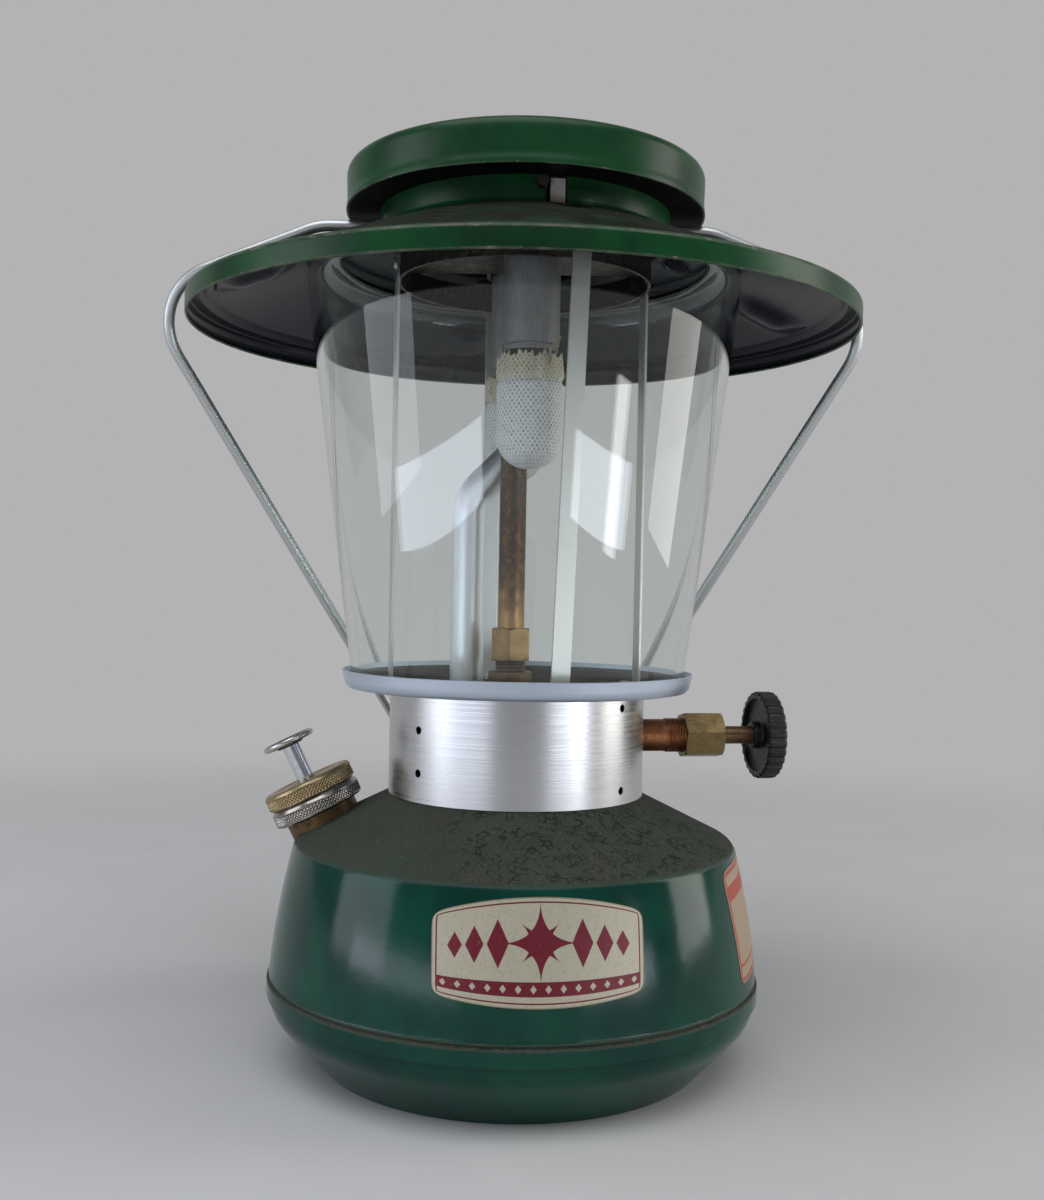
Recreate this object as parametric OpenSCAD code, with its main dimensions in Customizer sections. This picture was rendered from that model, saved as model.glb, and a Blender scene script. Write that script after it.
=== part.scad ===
// Double-mantle liquid-fuel camping lantern with a wide hood, a clear globe,
// a hinged wire bail and a pump built into the filler cap.
// Millimetres, +Z up. The origin is the centre of the foot ring on the table.
// The front of the lantern faces -Y; angles are measured from +X, anticlockwise.

/* [Fount] */
// Radius of the ring that the lantern stands on
foot_r = 66; // [58:0.5:70]
// Radius of the seam bead, the widest line of the fount
bead_r = 83.9; // [80:0.1:90]
// Height of the seam bead
bead_z = 25; // [22:0.5:30]
// Radius of the shoulder corner
shoulder_r = 75.3; // [70:0.1:79]
// Height of the shoulder corner
shoulder_z = 73.6; // [66:0.2:85]
// Slope of the shoulder
shoulder_slope = 26; // [20:0.5:30]
// Thickness of the fount's sheet steel
fount_sheet = 0.9; // [0.6:0.1:1.4]

/* [Collar] */
// Outer radius of the collar
collar_r = 43.9; // [40:0.1:50]
// Height of the collar's visible wall
collar_h = 36; // [30:0.5:45]
// Thickness of the collar's sheet
collar_sheet = 0.8; // [0.6:0.1:1.2]
// Diameter of the collar's air and seam holes
collar_hole_d = 2.7; // [2:0.1:4]

/* [Heat shield] */
// Radius of the shield's rim
shield_r = 60.4; // [59.5:0.1:66]
// Height of the shield's rim over its underside
shield_h = 6.3; // [5:0.1:9]
// Thickness of the shield's sheet
shield_sheet = 0.7; // [0.5:0.1:1.2]

/* [Globe] */
// Outer radius of the glass at its foot
globe_foot_r = 56.9; // [54:0.1:57.4]
// Outer radius of the glass where its top shoulder starts
globe_top_r = 74.2; // [66:0.1:76]
// Height of the glass
globe_h = 145; // [120:0.5:160]
// Thickness of the glass
globe_wall = 2.8; // [2:0.1:3.6]
// Radius of the rounded top shoulder of the glass
globe_shoulder = 8.5; // [6:0.5:11]

/* [Hood] */
// Radius of the brim
brim_r = 113.9; // [105:0.1:120]
// Height of the brim's turned-down band
brim_band = 7.4; // [5:0.1:10]
// Slope of the hood's cone
hood_slope = 22.2; // [18:0.2:25]
// Outer radius of the neck under the cap
neck_r = 50; // [48:0.1:54]
// Height of the neck wall over the cone
neck_h = 11.4; // [10:0.1:15]
// Thickness of the hood's sheet steel
hood_sheet = 0.8; // [0.6:0.1:1.2]
// Number of pressed flutes
flute_n = 4; // [3:1:6]
// Depth of a pressed flute under the cone
flute_depth = 3; // [2:0.1:4]
// Radius of the tool that presses a flute
flute_tool_r = 7; // [5.5:0.1:9]

/* [Cap] */
// Outer radius of the cap
cap_r = 61.6; // [58:0.1:66]
// Height of the cap's side
cap_h = 15.4; // [12:0.2:20]
// Radius of the cap's top corner
cap_corner = 4.5; // [2:0.5:6]
// Height of the cap's lip over the foot of the neck
cap_lift = 7.4; // [6.4:0.1:10]

/* [Bail] */
// Diameter of the bail's wire
wire_d = 4; // [3:0.1:5]
// Half width of the bail where its shoulder would meet its leg
bail_reach = 131.8; // [126:0.1:140]
// Slope of the bail's shoulder
bail_shoulder = 20.5; // [16:0.5:24]
// Length of the bail from its pivots to where its legs would meet
bail_length = 270.8; // [262:0.2:285]
// Radius of the bail's corners and grip
bail_bend_r = 22; // [16:0.5:26]
// Running clearance of the bail's ends in the neck
bail_clearance = 0.06; // [0.03:0.01:0.1]

/* [Frame] */
// Width of an upright strap
strap_w = 6.1; // [5:0.1:8]
// Thickness of an upright strap
strap_t = 1; // [0.8:0.1:1.4]
// Outer radius of the frame's top band
band_r = 43.7; // [42:0.1:46]
// Height of the frame's top band
band_h = 9; // [6:0.5:10]
// Angle by which the front strap leans sideways
front_lean = 2; // [0:0.5:2.5]

/* [Burner] */
// Diameter of the air tube
air_tube_d = 11.8; // [10:0.1:12.4]
// Diameter of a burner tube
burner_d = 18.5; // [16:0.1:20]
// Distance of each burner from the lantern's axis
burner_offset = 25; // [24.4:0.1:27]
// Height of the burner's mouth under the frame's bridge
burner_drop = 35; // [28:0.5:38]
// Largest diameter of a mantle
mantle_d = 22; // [18:0.5:23]
// Length of a mantle
mantle_l = 38; // [30:0.5:42]
// Diameter of the generator tube
generator_d = 9.1; // [8:0.1:9.6]
// Size of the generator nut across its flats
generator_nut_af = 12.7; // [12:0.1:14]

/* [Valve] */
// Height of the valve's axis over the foot of the collar
valve_h = 19.6; // [16:0.2:24]
// Angle of the valve's axis from +X
valve_turned = 10; // [0:1:20]
// Diameter of the valve's stem
stem_d = 6.3; // [5.6:0.1:7]
// Diameter of the valve's outer tube
valve_tube_d = 11.3; // [10.6:0.1:11.6]
// Size of the packing nut across its flats
packing_nut_af = 14.6; // [14.3:0.1:17]
// Diameter of the valve knob
knob_d = 31; // [26:0.5:36]
// Thickness of the valve knob's rim
knob_t = 6.7; // [6:0.1:9]
// Number of scallops on the valve knob
knob_scallops = 28; // [18:1:32]

/* [Filler and pump] */
// Radius at which the filler stands on the shoulder
filler_r = 66; // [63:0.5:67]
// Outer diameter of the filler's brass neck
filler_neck_d = 25; // [23:0.2:26]
// Diameter of the knurled rings of the cap
filler_cap_d = 31.7; // [30:0.1:34]
// Height of the lower, nickel ring
filler_ring_h = 6.1; // [5.6:0.1:8]
// Height of the upper, brass ring
pump_ring_h = 5.8; // [5:0.1:7]
// Diameter of the pump rod
rod_d = 6.1; // [5:0.1:7]
// Length of the rod that shows over the cap
rod_shows = 12.6; // [8:0.2:16]
// Diameter of the pump button
button_d = 18; // [14:0.5:22]
// Outer diameter of the pump barrel
barrel_d = 15.8; // [14:0.1:16.4]
// Length of the pump barrel under the cap
barrel_l = 62; // [52:0.5:66]
// Stroke of the pump
pump_stroke = 40; // [30:1:44]

/* [Hidden] */

$fn = 96;
seat = 0.3;             // gap that leaves one loose piece resting on another
fit = 0.1;              // gap between a fixed piece and the hole it sits in
cut = 1;                // how far a cutting tool runs past the face it cuts
enamel_green = "#1d5c3c";
bare_steel = "#b9bcbc";
brass = "#a8873f";
dark_brass = "#7a5a33";

// ---- plane geometry ---------------------------------------------------------

function unit(v) = v / norm(v);
function left_of(v) = [-v[1], v[0]];
function reversed(p) = [for (i = [len(p) - 1 : -1 : 0]) p[i]];
// points of an arc round centre c, from angle a0 to a1
function arc(c, r, a0, a1, n = 6) =
    [for (i = [0 : n]) let (a = a0 + (a1 - a0) * i / n) c + r * [cos(a), sin(a)]];
// arc that rounds the corner b between a and c
function rounded(a, b, c, r, n = 5) =
    let (u = unit(a - b),
         v = unit(c - b),
         half = acos(u * v) / 2,
         centre = b + unit(u + v) * r / sin(half),
         p = b + u * r / tan(half) - centre,
         q = b + v * r / tan(half) - centre,
         a0 = atan2(p[1], p[0]),
         turn = atan2(p[0] * q[1] - p[1] * q[0], p * q))
    arc(centre, r, a0, a0 + turn, n);
function heading(p, i) =
    i == 0 ? unit(p[1] - p[0]) :
    i == len(p) - 1 ? unit(p[i] - p[i - 1]) :
    unit(unit(p[i] - p[i - 1]) + unit(p[i + 1] - p[i]));
function set_in(p, i, t) =
    let (n = left_of(heading(p, i)),
         before = i == 0 ? n : left_of(unit(p[i] - p[i - 1])))
    p[i] + n * t / (before * n);
// closed outline of a sheet of thickness t that lies on the left of the path p
function sheet(p, t) = concat(p, [for (i = [len(p) - 1 : -1 : 0]) set_in(p, i, t)]);

module spin(outline) rotate_extrude() polygon(outline);

// straight rod between two points of the XY plane
module rod_between(p, q, r) {
    run = q - p;
    translate([p[0], p[1], 0])
        rotate([0, 90, atan2(run[1], run[0])])
            cylinder(r = r, h = norm(run));
}

// round rod of radius r along corners p of the XY plane, each bent to radius b;
// the straight runs reach a little way into the bends
module bent_rod(p, b, r) {
    last = len(p) - 1;
    for (i = [0 : last - 1]) {
        run = unit(p[i + 1] - p[i]);
        from = i == 0 ? p[i] : p[i] + run * (bend_tangent(p, i, b) - bend_lap);
        to = i == last - 1 ? p[i + 1] : p[i + 1] - run * (bend_tangent(p, i + 1, b) - bend_lap);
        rod_between(from, to, r);
    }
    for (i = [1 : last - 1]) bend(p[i - 1], p[i], p[i + 1], b, r + bend_swell);
}
bend_lap = 0.4;
bend_swell = 0.02;
function bend_tangent(p, i, b) =
    let (u = unit(p[i - 1] - p[i]), v = unit(p[i + 1] - p[i])) b / tan(acos(u * v) / 2);
module bend(a, b, c, bend_r, r) {
    u = unit(a - b);
    v = unit(c - b);
    half = acos(u * v) / 2;
    centre = b + unit(u + v) * bend_r / sin(half);
    p = b + u * bend_r / tan(half) - centre;
    q = b + v * bend_r / tan(half) - centre;
    turn = atan2(p[0] * q[1] - p[1] * q[0], p * q);
    start = turn > 0 ? atan2(p[1], p[0]) : atan2(q[1], q[0]);
    translate([centre[0], centre[1], 0])
        rotate([0, 0, start])
            rotate_extrude(angle = abs(turn)) translate([bend_r, 0]) circle(r = r);
}

module hexagon_bar(af, h, chamfer = 0.8) {
    corner_r = af / sqrt(3);
    intersection() {
        cylinder(r = corner_r, h = h, $fn = 6);
        spin([[0, 0], [corner_r - chamfer, 0], [corner_r, chamfer * 0.6],
              [corner_r, h - chamfer * 0.6], [corner_r - chamfer, h], [0, h]]);
    }
}

module tube(d, bore, h) difference() {
    cylinder(d = d, h = h);
    translate([0, 0, -cut]) cylinder(d = bore, h = h + 2 * cut);
}

module round_the_axis(angle, r) rotate([0, 0, angle]) translate([r, 0, 0]) children();

// ---- fount --------------------------------------------------------------------

belly_r = bead_r - fount_sheet;                    // wall just over the bead
belly_z = bead_z + 4;
wall_run = shoulder_z - belly_z;
wall_fall = belly_r - shoulder_r;
// outer radius of the fount's side wall, which falls away faster as it rises
function wall_r(z) = belly_r - wall_fall * pow(max(0, z - belly_z) / wall_run, 1.45);
shoulder_bend = 5;
spigot_gap = fit;
spigot_r = collar_r - collar_sheet - spigot_gap;   // ring that the collar slips over
spigot_h = 3;
collar_z = shoulder_z + (shoulder_r - collar_r) * tan(shoulder_slope);
fount_top_z = collar_z + spigot_h;
column_d = 15;
column_at = [-2.5, -5];

shoulder_top = [spigot_r, collar_z + (collar_r - spigot_r) * tan(shoulder_slope)];
wall_points = [for (i = [0 : 7]) let (z = belly_z + wall_run * 0.92 * i / 7) [wall_r(z), z]];
shell_path = concat(
    [[bead_r - 0.2, bead_z - 2.4], [bead_r, bead_z - 1.4], [bead_r, bead_z],
     [bead_r - 0.25, bead_z + 1.8]],
    wall_points,
    rounded([wall_r(shoulder_z - 8), shoulder_z - 8], [shoulder_r, shoulder_z],
            shoulder_top, shoulder_bend),
    [shoulder_top, [spigot_r, fount_top_z], [column_d / 2 + 3, fount_top_z]]);

foot_flat = 4;                // width of the flat foot ring
foot_rise = 3.5;              // height of the dished bottom
lip_gap = 0.3;
lip_r = bead_r - fount_sheet - lip_gap;
skirt_r = 10;
skirt_angle = 43;
skirt_z = bead_z - 3;
base_path = concat(
    [[0, foot_rise], [foot_r - foot_flat - 6, foot_rise], [foot_r - foot_flat, 0], [foot_r, 0]],
    arc([lip_r - skirt_r, skirt_z], skirt_r, -skirt_angle, 0),
    [[lip_r, bead_z + 0.5]]);

module fount_shell() color(enamel_green) difference() {
    spin(sheet(shell_path, fount_sheet));
    translate([column_at[0], column_at[1], fount_top_z - 2 * cut])
        cylinder(d = column_d + 2 * fit, h = 4 * cut);
    at_filler() translate([0, 0, -8]) cylinder(d = filler_neck_d + 2 * fit, h = 20);
}

module fount_base() color(enamel_green) spin(sheet(base_path, fount_sheet));

// ---- collar and heat shield -----------------------------------------------------

shield_z = collar_z + collar_h;
floor_z = shield_z + shield_sheet;
collar_air_angle = -136;      // pair of air holes, front left
collar_seam_angle = -38;      // pair of holes beside the seam, front right

// the collar's foot clears the shoulder's slope at its inner edge
collar_foot_z = collar_z + collar_sheet * tan(shoulder_slope) + 0.04;
module collar() color("#c9cac8") difference() {
    translate([0, 0, collar_foot_z])
        tube(2 * collar_r, 2 * (collar_r - collar_sheet), shield_z - collar_foot_z);
    for (turn = [0, 180], up = [10, 24])
        collar_hole(collar_air_angle + turn, up);
    for (up = [5, collar_h - 4]) collar_hole(collar_seam_angle, up);
    at_valve() cylinder(d = valve_thread_d + 2 * fit, h = 2 * collar_r);
}
module collar_hole(angle, up)
    rotate([0, 0, angle]) translate([collar_r / 2, 0, collar_z + up])
        rotate([0, 90, 0]) cylinder(d = collar_hole_d, h = collar_r);

shield_foot_r = shield_r - 1.4;
shield_path = concat(
    [[column_d / 2 + 3, shield_z], [shield_foot_r - 2.6, shield_z]],
    arc([shield_foot_r - 2.4, shield_z + 2.4], 2.4, -80, 0),
    [[shield_r, shield_z + shield_h]]);
lug_n = 3;
lug_first = 21;
lug_h = 4.6;
lug_w = 5.4;
lug_r = globe_foot_r - globe_wall - 0.6;

module heat_shield() color(bare_steel) difference() {
    union() {
        spin(sheet(shield_path, shield_sheet));
        for (i = [0 : lug_n - 1])
            round_the_axis(lug_first + 360 / lug_n * i, lug_r)
                translate([0, 0, floor_z]) rotate([90, 0, -90])
                    linear_extrude(height = shield_sheet)
                        polygon([[-lug_w / 2, -0.1], [lug_w / 2, -0.1], [0.6, lug_h], [-0.6, lug_h]]);
    }
    translate([air_at[0], air_at[1], shield_z - cut]) cylinder(d = air_tube_d + 0.6, h = 4 * cut);
    translate([column_at[0], column_at[1], shield_z - cut]) cylinder(d = column_d + 0.6, h = 4 * cut);
}

// ---- globe ------------------------------------------------------------------------

globe_z = floor_z + seat;
globe_top_z = globe_z + globe_h;
globe_lean = atan((globe_top_r - globe_foot_r) / (globe_h - globe_shoulder));
globe_bend = [globe_top_r - globe_shoulder * cos(globe_lean), globe_top_z - globe_shoulder];
globe_mouth = 4;              // flat lip inside the rounded shoulder
globe_path = concat(
    [[globe_foot_r, globe_z]],
    arc(globe_bend, globe_shoulder, -globe_lean, 90, 8),
    [[globe_bend[0] - globe_mouth, globe_top_z]]);

module globe() color("#e8f0f0", 0.3) spin(sheet(globe_path, globe_wall));

// ---- hood --------------------------------------------------------------------------

// the plain ring of the cone, between its dimples and its flutes, bears on the globe's top
bearing_z = globe_bend[1] + (globe_shoulder + seat + hood_sheet) / cos(hood_slope);
function cone_z(r) = bearing_z + (globe_bend[0] - r) * tan(hood_slope);
step_r = brim_r - 6.4;        // circular bead inside the brim
step_h = 1;
neck_z = cone_z(neck_r);
neck_top_z = neck_z + neck_h;
brim_top_z = cone_z(step_r) - step_h;
band_foot_z = brim_top_z - brim_band;
hem = 1.4;                    // turned-in edge of the brim's band

hood_path = concat(
    [[brim_r - hem, band_foot_z + 0.2], [brim_r - 0.5, band_foot_z], [brim_r, band_foot_z + 0.5]],
    rounded([brim_r, band_foot_z], [brim_r, brim_top_z], [step_r + 2, brim_top_z + 0.2], 1.8, 3),
    [[step_r + 1.8, brim_top_z + 0.2]],
    [[step_r, cone_z(step_r)]],
    rounded([step_r, cone_z(step_r)], [neck_r, neck_z], [neck_r, neck_top_z], 1.6, 3),
    [[neck_r, neck_top_z]]);

flute_first = -75;
dimple_at = neck_r + 7;       // each flute has a dimple in line with it, at the neck's foot
flute_from = globe_top_r + 9;
flute_to = step_r - 9;
tongue_angle = -78.9;         // the frame's tongues come up through the hood here
tongue_w = 4.6;
slot_w = 6;
slot_h = 9;
slot_depth = 3.2;             // how far the slot runs out over the cone
pin_d = 3.4;
pin_angle = tongue_angle - 5.2;
pin_up = 5.4;

module sunk(at)
    // stands what is pressed into the cone over it, sunk by the flute's depth
    translate([at, 0, cone_z(at)]) rotate([0, 90 + hood_slope, 0])
        translate([flute_depth - flute_tool_r, 0, 0]) children();

module press_tool(r) {
    // for each flute a ball for its dimple, and a capsule that lies along the cone
    length = (flute_to - flute_from) / cos(hood_slope);
    for (i = [0 : flute_n - 1])
        rotate([0, 0, flute_first + 360 / flute_n * i]) {
            sunk(dimple_at) sphere(r = r);
            sunk(flute_from) {
                cylinder(r = r, h = length);
                sphere(r = r);
                translate([0, 0, length]) sphere(r = r);
            }
        }
}

module cone_block(r_out, top) {
    // everything under the top face of the cone, out to r_out
    spin([[neck_r - 2, cone_z(r_out) - 20], [r_out, cone_z(r_out) - 20], [r_out, cone_z(r_out) + top],
          [neck_r - 2, cone_z(neck_r - 2) + top]]);
}

module hood() color(enamel_green) difference() {
    union() {
        spin(sheet(hood_path, hood_sheet));
        intersection() {
            press_tool(flute_tool_r + hood_sheet);
            cone_block(step_r - 1, -0.2);
        }
    }
    press_tool(flute_tool_r);
    for (turn = [0, 180]) {
        round_the_axis(tongue_angle + turn, neck_r - 2)
            translate([0, -slot_w / 2, neck_z - 4]) cube([2 + slot_depth, slot_w, 4 + slot_h]);
        round_the_axis(pin_angle + turn, neck_r - 4) translate([0, 0, neck_z + pin_up])
            rotate([0, 90, 0]) cylinder(d = pin_d + 2 * fit, h = 8);
        round_the_axis(turn, neck_r - 4) translate([0, 0, pivot_z])
            rotate([0, 90, 0]) cylinder(d = wire_d + 2 * bail_clearance, h = 8);
    }
}

module catch_pins() color(dark_brass)
    for (turn = [0, 180])
        round_the_axis(pin_angle + turn, neck_r - hood_sheet - 1.1) translate([0, 0, neck_z + pin_up])
            rotate([0, 90, 0]) {
                cylinder(d = pin_d, h = hood_sheet + 4.6);
                cylinder(d = pin_d + 1.4, h = 1);
            }

// ---- cap ----------------------------------------------------------------------------

cap_foot_z = neck_z + cap_lift;
cap_top_z = cap_foot_z + cap_h;
cap_roof_z = cap_top_z - hood_sheet;         // inside face of the cap's flat ring
cap_dome_r = 26;
cap_dome_h = 1.4;
cap_path = concat(
    [[cap_r, cap_foot_z]],
    rounded([cap_r, cap_foot_z], [cap_r, cap_top_z], [0, cap_top_z], cap_corner, 6),
    [[cap_dome_r + 3, cap_top_z], [cap_dome_r, cap_top_z + cap_dome_h], [0, cap_top_z + cap_dome_h]]);

bracket_n = 4;
bracket_first = -30;
bracket_w = 10;
bracket_t = 1;
bracket_foot = 8;
// outer face of a bracket's upright, whose edges lie close inside the neck
bracket_r = sqrt(pow(neck_r - hood_sheet, 2) - pow(bracket_w / 2, 2)) - 0.1;
bracket_drop = 7;                            // how far it reaches down inside the neck

module hood_cap() color(enamel_green) spin(sheet(cap_path, hood_sheet));

module cap_brackets() color(bare_steel)
    for (i = [0 : bracket_n - 1])
        rotate([0, 0, bracket_first + 360 / bracket_n * i]) {
            translate([bracket_r - bracket_t, -bracket_w / 2, neck_top_z - bracket_drop])
                cube([bracket_t, bracket_w, cap_roof_z - neck_top_z + bracket_drop]);
            translate([bracket_r - bracket_foot, -bracket_w / 2, cap_roof_z - bracket_t])
                cube([bracket_foot, bracket_w, bracket_t]);
        }

module cap_rivets() color(enamel_green)
    for (i = [0 : bracket_n - 1])
        round_the_axis(bracket_first + 360 / bracket_n * i, bracket_r - bracket_foot / 2)
            translate([0, 0, cap_top_z]) spin(concat([[0, 0], [2.4, 0]], arc([0, -1.4], 2.8, 31, 90, 4)));

// ---- bail ---------------------------------------------------------------------------

pivot_z = cap_foot_z - wire_d / 2 - 0.5;
bail_in = 9;                                 // length of wire inside the neck
bail_shift = -3.7;                           // end play taken up to the left
bail_straight = cap_r + 6.4;                 // half width of the straight ends
bail_corner = [bail_reach, (bail_reach - bail_straight) * tan(bail_shoulder)];
bail_apex = [0, bail_length];
leg_angle = atan(bail_corner[0] / (bail_length - bail_corner[1]));
bail_drop = bail_length - bail_bend_r * (1 / sin(leg_angle) - 1);
// the bail hangs behind the lantern with its grip just clear of the fount
grip_guess = asin(belly_r / bail_drop);
grip_z = pivot_z - bail_drop * cos(grip_guess);
bail_lean = asin((wall_r(grip_z) + wire_d / 2 + seat) / bail_drop);
bail_half = [[neck_r - bail_in, 0], [bail_straight, 0], bail_corner];
bail_corners = concat(bail_half, [bail_apex], [for (p = reversed(bail_half)) [-p[0], p[1]]]);

module bail() color("#9aa3a3")
    translate([bail_shift, 0, pivot_z]) rotate([bail_lean - 90, 0, 0])
        bent_rod(bail_corners, bail_bend_r, wire_d / 2);

// ---- frame --------------------------------------------------------------------------

bridge_z = neck_z - 7.6;                     // underside of the frame's bridge
bridge_t = 1.2;
bridge_w = 28;
band_t = 1.2;
band_top_z = bridge_z + bridge_t;
strap_first = -75;
front_turned = 2.5;           // the front strap stands a little to the right
function strap_angle(i) = strap_first + 90 * i + (i == 0 ? front_turned : 0);
strap_foot = 8;
strap_in = band_r + 0.05;                    // inner face of a strap
tongue_t = 1.2;
strap_h = band_top_z - tongue_t - 0.1 - floor_z; // ends just under the tongues
tongue_in = neck_r + 0.35;
tongue_top = neck_z + 6.8;

module frame_band() color(bare_steel) {
    translate([0, 0, band_top_z - band_h]) tube(2 * band_r, 2 * (band_r - band_t), band_h);
    for (turn = [0, 180])
        round_the_axis(tongue_angle + turn, band_r - band_t / 2)
            translate([0, -tongue_w / 2, 0]) {
                reach = tongue_in + tongue_t - band_r + band_t / 2;
                translate([0, 0, band_top_z - tongue_t]) cube([reach, tongue_w, tongue_t]);
                translate([reach - tongue_t, 0, band_top_z - tongue_t])
                    cube([tongue_t, tongue_w, tongue_top - band_top_z + tongue_t]);
            }
}

module strap(lean = 0) {
    translate([strap_in, 0, floor_z]) rotate([lean, 0, 0]) translate([0, -strap_w / 2, 0])
        cube([strap_t, strap_w, strap_h / cos(lean)]);
    translate([strap_in - strap_foot, -strap_w / 2, floor_z])
        cube([strap_foot + strap_t, strap_w, strap_t]);
}
module strap_at(i, lean = 0) color(bare_steel)
    rotate([0, 0, strap_angle(i)]) strap(lean);
module strap_front() strap_at(0, -front_lean);
module strap_right() strap_at(1);
module strap_rear() strap_at(2);
module strap_left() strap_at(3);

module frame_rivets() color(bare_steel)
    for (i = [0 : 3]) rotate([0, 0, strap_angle(i)]) {
        sideways = i == 0 ? (strap_h - band_h / 2) * tan(front_lean) : 0;
        translate([strap_in + strap_t, sideways, band_top_z - band_h / 2])
            rotate([0, 90, 0]) cylinder(d1 = 4, d2 = 2.6, h = 0.9);
        translate([strap_in - strap_foot / 2, 0, floor_z + strap_t]) cylinder(d1 = 4, d2 = 2.6, h = 0.9);
    }

module frame_bridge() color(bare_steel) difference() {
    intersection() {
        translate([-band_r, -bridge_w / 2, bridge_z]) cube([2 * band_r, bridge_w, bridge_t]);
        cylinder(r = band_r - band_t - 0.05, h = 2 * band_top_z);
    }
    translate([mixing_at[0], mixing_at[1], bridge_z - cut]) cylinder(d = air_tube_d + 2 * fit, h = 4 * cut);
    translate([column_at[0], column_at[1], bridge_z - cut]) cylinder(d = generator_d + 2 * fit, h = 4 * cut);
}

// ---- valve ----------------------------------------------------------------------------

valve_thread_d = valve_tube_d + 0.75;
valve_z = collar_z + valve_h;
stem_gap = 0.05;
nut_from = collar_r + 15.7;
nut_l = 14.1;
nut_to = nut_from + nut_l;
nut_end = 4;                                 // solid end of the packing nut
packing_l = 2.6;
tube_to = nut_to - nut_end - packing_l - 0.2;
knob_from = nut_to + 13.3;                   // inner edge of the knob's rim
knob_to = knob_from + knob_t;
knob_web = 2.4;                              // what is left outside the end of the stem
knob_recess = 1.6;                           // hollow in the knob's inner face
hub_d = 9.4;
hub_out = 1.6;
column_top = shield_z + 6.5;
stem_from = 10;

module at_valve() translate([0, 0, valve_z]) rotate([0, 0, valve_turned]) rotate([0, 90, 0]) children();

module valve_block() color(dark_brass) difference() {
    union() {
        translate([column_at[0], column_at[1], fount_top_z - fount_sheet - 3])
            cylinder(d = column_d, h = column_top - fount_top_z + fount_sheet + 3);
        translate([column_at[0], column_at[1], column_top]) cylinder(d = 10.6, h = 7);
        at_valve() cylinder(d = valve_tube_d, h = tube_to);
        at_valve() translate([0, 0, nut_from - 7]) cylinder(d = valve_thread_d, h = tube_to - nut_from + 7);
    }
    at_valve() translate([0, 0, stem_from - 3]) cylinder(d = stem_d + 2 * stem_gap, h = tube_to);
    translate([column_at[0], column_at[1], 0]) cylinder(d = 3, h = 2 * column_top);
}

module fuel_pickup() color(dark_brass)
    translate([column_at[0], column_at[1], foot_rise + fount_sheet + 2])
        tube(6, 4.4, fount_top_z - fount_sheet - 3 - foot_rise - fount_sheet - 2);

module valve_packing() color("#3b3a36") at_valve()
    translate([0, 0, tube_to + fit]) tube(valve_thread_d - 1.2, stem_d + 2 * stem_gap, packing_l);

module packing_nut() color(brass) at_valve() difference() {
    translate([0, 0, nut_from]) rotate([0, 0, 18]) hexagon_bar(packing_nut_af, nut_l);
    translate([0, 0, nut_from - cut])
        cylinder(d = valve_thread_d + 2 * fit, h = nut_l - nut_end + cut);
    translate([0, 0, nut_to - nut_end - cut]) cylinder(d = stem_d + 2 * stem_gap, h = nut_end + 2 * cut);
}

module valve_stem() color(dark_brass) at_valve() {
    translate([0, 0, stem_from]) cylinder(d = stem_d, h = knob_to - knob_web - stem_from);
    translate([0, 0, stem_from - 2.6]) cylinder(d1 = 1, d2 = stem_d, h = 2.6);
}

module valve_knob() color("#1c1b1a") at_valve() difference() {
    union() {
        difference() {
            translate([0, 0, knob_from]) spin(concat(
                [[0, 0], [knob_d / 2 - 1, 0], [knob_d / 2, 0.8], [knob_d / 2, knob_t - 1.2]],
                [[knob_d / 2 - 1.4, knob_t], [0, knob_t]]));
            translate([0, 0, knob_from - cut]) cylinder(d = knob_d - 5, h = knob_recess + cut);
        }
        translate([0, 0, knob_from - hub_out]) cylinder(d = hub_d, h = hub_out + knob_t / 2);
    }
    translate([0, 0, knob_from - 10]) cylinder(d = stem_d, h = knob_to - knob_web - knob_from + 10);
    translate([0, 0, knob_to - knob_web - cut]) cylinder(d = 3, h = knob_web + 2 * cut);
    for (i = [0 : knob_scallops - 1])
        rotate([0, 0, 360 / knob_scallops * i]) translate([knob_d / 2 + 0.5, 0, knob_from - cut])
            cylinder(r = 1.15, h = knob_t + 2 * cut, $fn = 24);
}

module knob_screw() color(bare_steel) at_valve() difference() {
    translate([0, 0, knob_to]) spin(concat([[0, 0], [3, 0]], arc([0, -1.6], 3.4, 28, 90, 4)));
    translate([-4, -0.4, knob_to + 1]) cube([8, 0.8, 2]);
}

// ---- generator, air tube and burners ------------------------------------------------------

generator_nut_h = 11;
generator_nut_z = column_top + 3.6;
generator_z = generator_nut_z + generator_nut_h;
air_at = [-18, 6];
mixing_at = [0.5, 6.5];
air_bend_z = 66;                             // height of the air tube's bend over the shield
air_bend_r = 14;
air_wall = 0.8;
manifold_z = bridge_z + bridge_t;
manifold_h = 10;
burner_turned = -84;
burner_mouth_z = bridge_z - burner_drop;
burner_wall = 0.8;
screen_h = 3;

module generator_nut() color(brass)
    translate([column_at[0], column_at[1], generator_nut_z]) rotate([0, 0, 30]) difference() {
        hexagon_bar(generator_nut_af, generator_nut_h, 1);
        translate([0, 0, -cut]) cylinder(d = 10.6 + 2 * fit, h = generator_nut_h - 4 + cut);
        cylinder(d = 3, h = 2 * generator_nut_h);
    }

module generator_tube() color("#5b463a")
    translate([column_at[0], column_at[1], generator_z])
        tube(generator_d, generator_d - 2.4, manifold_z - generator_z);

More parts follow.
